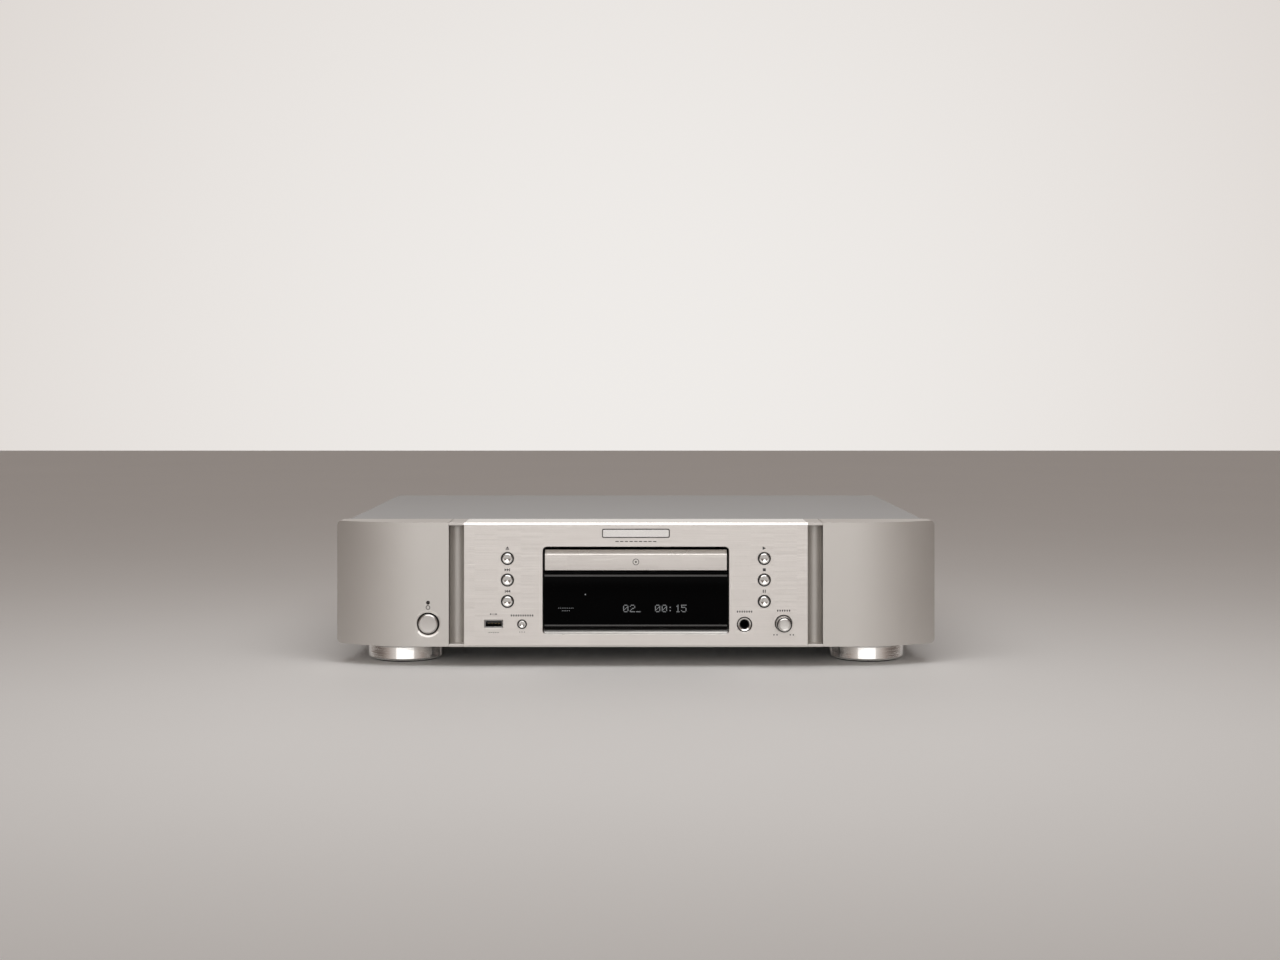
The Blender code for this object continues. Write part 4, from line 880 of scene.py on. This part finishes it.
def headphone_jack():
    """The socket: a black nut, a bright mouth, a black liner and the body behind the plate."""
    node = "headphone_jack"
    centre = middle_of(node)
    low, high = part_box(node)
    back = high.y - FACE
    near, mouth_near = 0.0003, 0.0005
    lip, end = JACK_RADIUS - 0.0005, PLATE_HIGH.y - FACE + 0.0006
    ring = [(near, lip), (near, JACK_RADIUS - 0.0002), (0.0006, JACK_RADIUS), (end, JACK_RADIUS)]
    ring += [(end, lip), (near, lip)]
    nut = turned(node, "jack_nut", ring, 72, 0.0001)
    mouth = [(mouth_near, lip - 0.0001), (0.0012, JACK_BORE + 0.0004), (end, JACK_BORE + 0.0004)]
    mouth += [(end, lip - 0.0001), (mouth_near, lip - 0.0001)]
    on_case(turned(node, "jack_mouth", mouth, 72), "edge", "machine_steel")
    on_case(nut, "black", "machine_steel", node)
    inner, outer = JACK_BORE - 0.0003, JACK_BORE + 0.0003
    sleeve = [(0.0024, inner), (0.0020, JACK_BORE - 0.0001), (0.0020, outer), (0.011, outer)]
    sleeve += [(0.011, inner), (0.0024, inner)]
    on_case(turned(node, "jack_sleeve", sleeve, 72), "black", "machine_steel")
    half = (high.x - low.x) / 2
    shell = block("jack_body", (centre.x - half, PLATE_HIGH.y + 0.0007, centre.z - half),
                  (centre.x + half, high.y, centre.z + half), 0.0005)
    hole = [(-0.01, 0), (-0.01, JACK_BORE), (back - 0.003, JACK_BORE), (back - 0.003, 0)]
    carve(shell, turned(node, "jack_hole", hole, 48))
    on_case(shell, "dark", "machine_steel")


def usb_socket():
    """The socket: a thin steel shell, its tongue and four contacts."""
    centre = middle_of("usb_socket")
    low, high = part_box("usb_socket")
    wall = 0.0004
    outer = rounded(low.x, high.x, low.z, high.z, 0.0005, 4)
    inner = rounded(low.x + wall, high.x - wall, low.z + wall, high.z - wall, 0.0003, 4)
    shell = slab("usb_shell", [outer, inner], "Y", low.y, high.y - 0.001, 0.0001)
    on_case(shell, "steel", "machine_steel", "usb_socket")
    back = block("usb_back", (low.x + wall, high.y - 0.003, low.z + wall),
                 (high.x - wall, high.y, high.z - wall), 0.0001)
    tongue = block("usb_tongue", (low.x + 0.001, low.y + 0.0022, centre.z + 0.0001),
                   (high.x - 0.001, high.y - 0.002, centre.z + 0.0017), 0.0002)
    on_case(back, "dark", "machine_steel")
    on_case(tongue, "black", "machine_steel")
    pitch = 0.0025
    half = 0.0005
    for index in range(4):
        x = centre.x + (index - 1.5) * pitch
        contact = block(f"usb_contact_{index + 1}", (x - half, low.y + 0.0030, centre.z - 0.00012),
                        (x + half, high.y - 0.004, centre.z + 0.00015), 0.00004)
        on_case(contact, "gold", "machine_steel")


def door():
    """The tray's door: its top rolls back, its lower edge is turned under."""
    low, high = DOOR_LOW, DOOR_HIGH
    face = low.y
    side = [(high.y, low.z), (high.y, high.z - 0.0004), (face + 0.0028, high.z)]
    side += [(face + 0.0016, high.z - 0.0013), (face, high.z - 0.0035)]
    side += [(face, low.z + 0.0005), (face + 0.0003, low.z)]
    outline = soften(side, 0.0004, 5, True)
    skin = slab("door_skin", [outline], "X", low.x, high.x, 0.0002)
    # The door's sloping top gets the bright satin as a painted highlight.
    paint_rim_highlights(finish_piece(skin, "door", "tray", ["tray_front"]))
    marks = (("disc_mark_ring", [circle(0, DISC_MARK, 0.00235, 48), circle(0, DISC_MARK, 0.0019, 48)]),
             ("disc_mark_hub", [circle(0, DISC_MARK, 0.0007, 32)]))
    for name, outlines in marks:
        mark = slab(name, outlines, "Y", face - INK, face + 0.0001)
        finish_piece(mark, "ink", "tray")


def badge():
    """A plain raised bar with a dark rim, and a row of short dashes under it."""
    low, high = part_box("badge")
    rim = 0.0006
    outer = rounded(low.x, high.x, low.z, high.z, 0.0012, 6)
    base = slab("badge_rim", [outer], "Y", low.y + 0.0002, high.y, 0.0001)
    on_case(base, "dark", "badge_metal", "badge")
    inner = rounded(low.x + rim, high.x - rim, low.z + rim, high.z - rim, 0.0008, 6)
    plain = slab("badge_bar", [inner], "Y", low.y, low.y + 0.00025, 0.0001)
    on_case(plain, "badge", "badge_metal")
    half, pitch = 0.0012, 0.0034
    dashes = []
    for index in range(9):
        x = (index - 4) * pitch
        dashes.append(rectangle(x - half, x + half, low.z - 0.0030, low.z - 0.0024))
    print_mark("badge_dashes", dashes)


# ---- Window and its display ----

DIGITS = {
    "0": ("01110", "10001", "10011", "10101", "11001", "10001", "01110"),
    "1": ("00100", "01100", "00100", "00100", "00100", "00100", "01110"),
    "2": ("01110", "10001", "00001", "00110", "01000", "10000", "11111"),
    "5": ("11111", "10000", "11110", "00001", "00001", "10001", "01110"),
}
DIGIT_LOW = 0.0400
DOT_PITCH = 0.00079
DOT_SIZE = 0.00056
TRACK, MINUTES, SECONDS = -0.0093, 0.0138, 0.0286  # where each pair of numerals starts
DIGIT_STEP = 0.0049
NUMERALS = (
    ("track_tens", "0", TRACK), ("track_units", "2", TRACK + DIGIT_STEP),
    ("minutes_tens", "0", MINUTES), ("minutes_units", "0", MINUTES + DIGIT_STEP),
    ("seconds_tens", "1", SECONDS), ("seconds_units", "5", SECONDS + DIGIT_STEP - 0.0007),
)
COLON = 0.0249
UNDERLINE = 0.0006
MODE_MARKS = ((-0.0560, 0.0430, 9), (-0.0534, 0.0411, 5))  # left end, height and dots of each row
MODE_PITCH = 0.0013
SENSOR = Vector((-0.0366, 0.0529))


def dot_shape(shape, x, z, size, face):
    """Add one thin square dot of the display to a shape."""
    made = bmesh.ops.create_cube(shape, size=1.0)["verts"]
    bmesh.ops.scale(shape, vec=(size, INK, size), verts=made)
    bmesh.ops.translate(shape, vec=(x, face - INK / 2, z), verts=made)


def numeral(name, digit, left, face):
    """One numeral of lit dots."""
    shape = bmesh.new()
    for row, line in enumerate(DIGITS[digit]):
        for column, on in enumerate(line):
            if on == "1":
                z = DIGIT_LOW + (6.5 - row) * DOT_PITCH
                dot_shape(shape, left + (column + 0.5) * DOT_PITCH, z, DOT_SIZE, face)
    on_case(add_piece(name, shape), "digits", "window_black")


def window_pane():
    """The pane, its top and bottom rolled back, and two grey bands along them: painted highlights on the
    rolled edges.
    """
    face = WINDOW_LOW.y
    low, high = WINDOW_LOW, WINDOW_HIGH
    bevel, edge = 0.0006, 0.0008
    side = [(high.y, low.z), (high.y, high.z), (face + bevel, high.z), (face, high.z - bevel)]
    side += [(face, low.z + 0.0012), (face + 0.0010, low.z)]
    pane = slab("window_pane", [soften(side, 0.0002, 3, True)], "X", low.x, high.x, 0.0001)
    on_case(pane, "window", "window_black", "display_window")
    # Grey bands standing for the highlights on the pane's rolled edges: painted highlights.
    for name, bottom, top in (("window_top_highlight", high.z - 0.0021, high.z - 0.0008),
                              ("window_low_highlight", low.z + 0.0013, low.z + 0.0024)):
        band = block(name, (low.x + edge, face - INK, bottom), (high.x - edge, face + 0.0002, top),
                     0.00002, 1)
        on_case(band, "window_painted_highlight", "window_black")


def display():
    """Lit numerals for the track and the time, and the small marks beside them."""
    face = WINDOW_LOW.y
    for name, digit, left in NUMERALS:
        numeral(name, digit, left, face)
    shape = bmesh.new()
    for z in (DIGIT_LOW + 1.5 * DOT_PITCH, DIGIT_LOW + 4.5 * DOT_PITCH):
        dot_shape(shape, COLON, z, DOT_SIZE * 1.3, face)
    for column in range(4):
        dot_shape(shape, UNDERLINE + column * DOT_PITCH, DIGIT_LOW + 0.5 * DOT_PITCH, DOT_SIZE, face)
    for left, z, count in MODE_MARKS:
        for column in range(count):
            dot_shape(shape, left + column * MODE_PITCH, z, DOT_SIZE * 0.8, face)
    dot_shape(shape, SENSOR.x, SENSOR.y, 0.0008, face)
    on_case(add_piece("display_marks", shape), "digits", "window_black")


# ---- Printed marks ----


def print_mark(name, outlines, face=FACE, slot="front_silver"):
    """Printed shapes, each an outline or an outline with holes."""
    shape = bmesh.new()
    for outline in outlines:
        loops = outline if isinstance(outline[0], list) else [outline]
        add_slab(shape, loops, face - INK, face + 0.00005)
    on_case(add_piece(name, shape), "ink", slot)


def triangle(x, z, wide, tall, towards):
    """A triangle that points right (1) or left (-1), centred at x, z."""
    tip, root = x + towards * wide / 2, x - towards * wide / 2
    return [(root, z - tall / 2), (tip, z), (root, z + tall / 2)]


def bar(x, z, wide, tall):
    return rectangle(x - wide / 2, x + wide / 2, z - tall / 2, z + tall / 2)


def transport_marks():
    """The usual symbols over the six transport buttons."""
    rise = 0.0075
    tall, wide, thin = 0.0020, 0.0017, 0.0005
    places = {name: middle_of(name + "_button") for name in TRANSPORT}

    def at(name):
        return places[name].x, places[name].z + rise

    x, z = at("eject")
    arrow = [(x - 0.0013, z - 0.0003), (x + 0.0013, z - 0.0003), (x, z + 0.0012)]
    print_mark("eject_mark", [arrow, bar(x, z - 0.0010, 0.0026, thin)])
    for name, way in (("next", 1), ("previous", -1)):
        x, z = at(name)
        marks = [triangle(x + way * along, z, wide, tall, way) for along in (-0.0012, 0.0005)]
        print_mark(name + "_mark", [*marks, bar(x + way * 0.0016, z, thin, tall)])
    print_mark("play_mark", [triangle(*at("play"), 0.0024, 0.0026, 1)])
    print_mark("stop_mark", [bar(*at("stop"), 0.0021, 0.0021)])
    x, z = at("pause")
    marks = [bar(x + across, z, 0.0007, 0.0022) for across in (-0.0007, 0.0007)]
    print_mark("pause_mark", marks)


def label(name, x, z, count):
    """A row of short plain dashes, where a caption would stand."""
    step = 0.0017
    dashes = [bar(x + (index - (count - 1) / 2) * step, z, 0.0009, 0.0013) for index in range(count)]
    print_mark(name, dashes)


def dots(x, z, pitch, count, radius, sides):
    """A level row of round dots, centred at x."""
    middle = (count - 1) // 2
    return [circle(x + (index - middle) * pitch, z, radius, sides) for index in range(count)]


def lower_marks():
    """Plain marks by the sockets, the input button, the level knob and the power button."""
    usb, source = middle_of("usb_socket"), middle_of("input_button")
    jack, knob = middle_of("headphone_jack"), middle_of("level_knob")
    x, z = usb.x, usb.z + 0.0071
    arrow = [triangle(x + 0.0021, z, 0.0014, 0.0013, 1), bar(x - 0.0002, z, 0.0036, 0.0003)]
    print_mark("usb_mark", [*arrow, circle(x - 0.0022, z, 0.0005, 24)])
    print_mark("usb_dots", dots(x, usb.z - 0.0062, 0.0016, 5, 0.00035, 16))
    label("input_label", source.x, source.z + 0.0064, 10)
    print_mark("input_dots", dots(source.x, source.z - 0.0056, 0.0017, 3, 0.0003, 16))
    label("headphone_label", jack.x, jack.z + 0.0093, 7)
    label("level_label", knob.x, knob.z + 0.0093, 6)
    z = knob.z - 0.0082
    ends = [circle(knob.x + across, z, 0.0005, 20) for across in (-0.0070, -0.0048, 0.0048, 0.0070)]
    print_mark("level_ends", ends)
    x, z = middle_of("power_button").x, middle_of("power_lamp").z - 0.0035
    ring = [circle(x, z, 0.0016, 40), circle(x, z, 0.0011, 40)]
    print_mark("power_mark", [ring], WING_LOW.y, "wing_silver")


# ---- Case ----


def cover():
    """The cover: one bent sheet with round bends."""
    low, high = COVER_LOW, COVER_HIGH
    sheet, bend = 0.0015, 0.003
    outer, inner = high.x, high.x - sheet
    section = [(-outer, low.z), *arc(bend - outer, high.z - bend, bend, 180, 90, 10)]
    section += [*arc(outer - bend, high.z - bend, bend, 90, 0, 10), (outer, low.z), (inner, low.z)]
    section += [*arc(outer - bend, high.z - bend, bend - sheet, 0, 90, 8)]
    section += [*arc(bend - outer, high.z - bend, bend - sheet, 90, 180, 8), (-inner, low.z)]
    skin = slab("cover_sheet", [section], "Y", low.y, high.y, 0.0003)
    on_case(skin, "cover", "cover_paint", "top_cover")


def feet():
    """The four turned feet: a groove under the top, and a broad rounded rim."""
    for end in ("front", "rear"):
        for side in ("left", "right"):
            name = f"{end}_{side}_foot"
            low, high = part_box(name)
            middle, radius = (low + high) / 2, (high.x - low.x) / 2
            tall, neck = high.z - low.z, radius - 0.0004
            profile = [(tall, 0), (tall, radius - 0.0016), (tall - 0.0012, neck), (tall - 0.0026, neck)]
            profile += [(tall - 0.0030, radius - 0.0010), (tall - 0.0034, radius), (0.0014, radius)]
            profile += [(0.0, radius - 0.0014), (0.0, 0)]
            place = (middle.x, middle.y, low.z)
            foot = lathe(name + "_turning", profile, place, "Z", 128, 0.0004)
            on_case(foot, "chrome", "foot_chrome", name)


def screw(name, place, facing):
    """A pan head screw with a cross recess. facing is the way its head points."""
    radius, reach = SCREW_HEAD, SCREW_HEAD * 0.6
    profile = [(0.0016, 0), (0.0015, reach), (0.0006, radius), (0, radius), (0, 0)]
    head = lathe(name, profile, (0, 0, 0), "Z", 32, 0.0002)
    for angle in (0, 90):
        arm = block("arm", (-reach, -0.0004, 0.0008), (reach, 0.0004, 0.003), 0)
        arm.data.transform(Matrix.Rotation(math.radians(angle), 4, "Z"))
        carve(head, arm)
    turn = Vector((0, 0, 1)).rotation_difference(Vector(facing)).to_matrix().to_4x4()
    head.data.transform(Matrix.Translation(place) @ turn)
    on_case(head, "steel", "sheet_steel")


def screws():
    """Cover screws, two on each side and three along the rear panel, and panel screws."""
    for side, x in (("left", COVER_LOW.x), ("right", COVER_HIGH.x)):
        facing = (-1 if side == "left" else 1, 0, 0)
        for index, share in enumerate((0.12, 0.88)):
            y = COVER_LOW.y + (COVER_HIGH.y - COVER_LOW.y) * share
            screw(f"{side}_cover_screw_{index + 1}", (x, y, 0.030), facing)
    rows = (("rear_cover_screw", PANEL_HIGH.z - 0.006, (-0.19, 0.0, 0.19)),
            ("panel_screw", PANEL_LOW.z + 0.006, (-0.205, -0.09, 0.03, 0.205)))
    for name, z, places in rows:
        for index, x in enumerate(places):
            screw(f"{name}_{index + 1}", (x, PANEL_HIGH.y, z), (0, 1, 0))


# ---- Rear sockets ----


def phono(name, x, colour):
    """A phono socket: a coloured ring, a plated barrel and a white core."""
    z = middle_of("digital_output_jack").z
    face = PANEL_HIGH.y
    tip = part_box("digital_output_jack")[1].y - face
    bore, wall = 0.0024, 0.00415
    barrel = [(tip, bore), (tip, 0.0039), (tip - 0.0004, wall), (-0.0012, wall), (-0.0012, bore)]
    barrel.append((tip, bore))
    core = ring_profile(tip - 0.0008, 0.0, 0.0014, bore)
    ring = [(0.0018, 0.0043), (0.0018, 0.0056), (0.0014, 0.0060), (0.0, 0.0060), (0.0, 0.0043)]
    ring.append((0.0018, 0.0043))
    parts = (("_barrel", barrel, 64, 0.0001, "gold"), ("_core", core, 48, 0.0, "white"),
             ("_ring", ring, 64, 0.0002, colour))
    for part, profile, sides, edge, finish in parts:
        piece = lathe(name + part, profile, (x, face, z), "Y", sides, edge)
        on_case(piece, finish, "black_plastic")


def rear_sockets():
    """The socket bodies, and the three phono sockets that stand out of them."""
    back = PANEL_LOW.y - GAP
    for name in ("analog_output_jacks", "digital_output_jack"):
        low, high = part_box(name)
        body = block(name + "_body", low, (high.x, back, high.z), 0.0006)
        on_case(body, "black", "black_plastic", name)
    low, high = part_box("analog_output_jacks")
    phono("left_output", low.x + 0.007, "white")
    phono("right_output", high.x - 0.007, "red")
    phono("coaxial_output", middle_of("digital_output_jack").x, "black")


# ---- Finishes of the frame's own pieces ----

KEPT = {
    "zinc": ("chassis", "clamp_bridge", "traverse_frame"),
    "panel": ("rear_panel",),
    "black": ("disc_tray", "loader_base", "power_switch", "turntable", "clamp_puck", "pickup_sled",
              "optical_output", "remote_jacks", "ac_inlet"),
    "white": ("drive_gear", "pulley_gear", "motor_pulley", "feed_gear", "sled_pinion", "cam_slider"),
    "steel": ("level_control", "loading_motor", "spindle_motor", "sled_motor", "guide_rod"),
    "board": ("front_board", "main_board"),
    "winding": ("transformer",),
    "lens": ("objective_lens",),
    "glass": ("display_module",),
    "rubber": ("loading_belt", "front_left_foot_pad", "front_right_foot_pad", "rear_left_foot_pad",
               "rear_right_foot_pad"),
}


def finish_kept():
    for finish, names in KEPT.items():
        for name in names:
            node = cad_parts[name]
            node.data.materials.clear()
            node.data.materials.append(FINISHES[finish].material)


camera()
studio()
front_plate()
front_frame()
window_sill()
RIGHT_WING = wing("right_wing", 1)
LEFT_WING = wing("left_wing", -1)
power_controls(LEFT_WING)
# The wings' eased rims get the bright satin as a painted highlight.
for skin, name in ((LEFT_WING, "left_wing"), (RIGHT_WING, "right_wing")):
    paint_rim_highlights(on_case(skin, "wing", "wing_silver", name))
gap_shade_rings()
buttons()
level_knob()
headphone_jack()
usb_socket()
door()
badge()
window_pane()
display()
transport_marks()
lower_marks()
cover()
feet()
screws()
rear_sockets()
finish_kept()
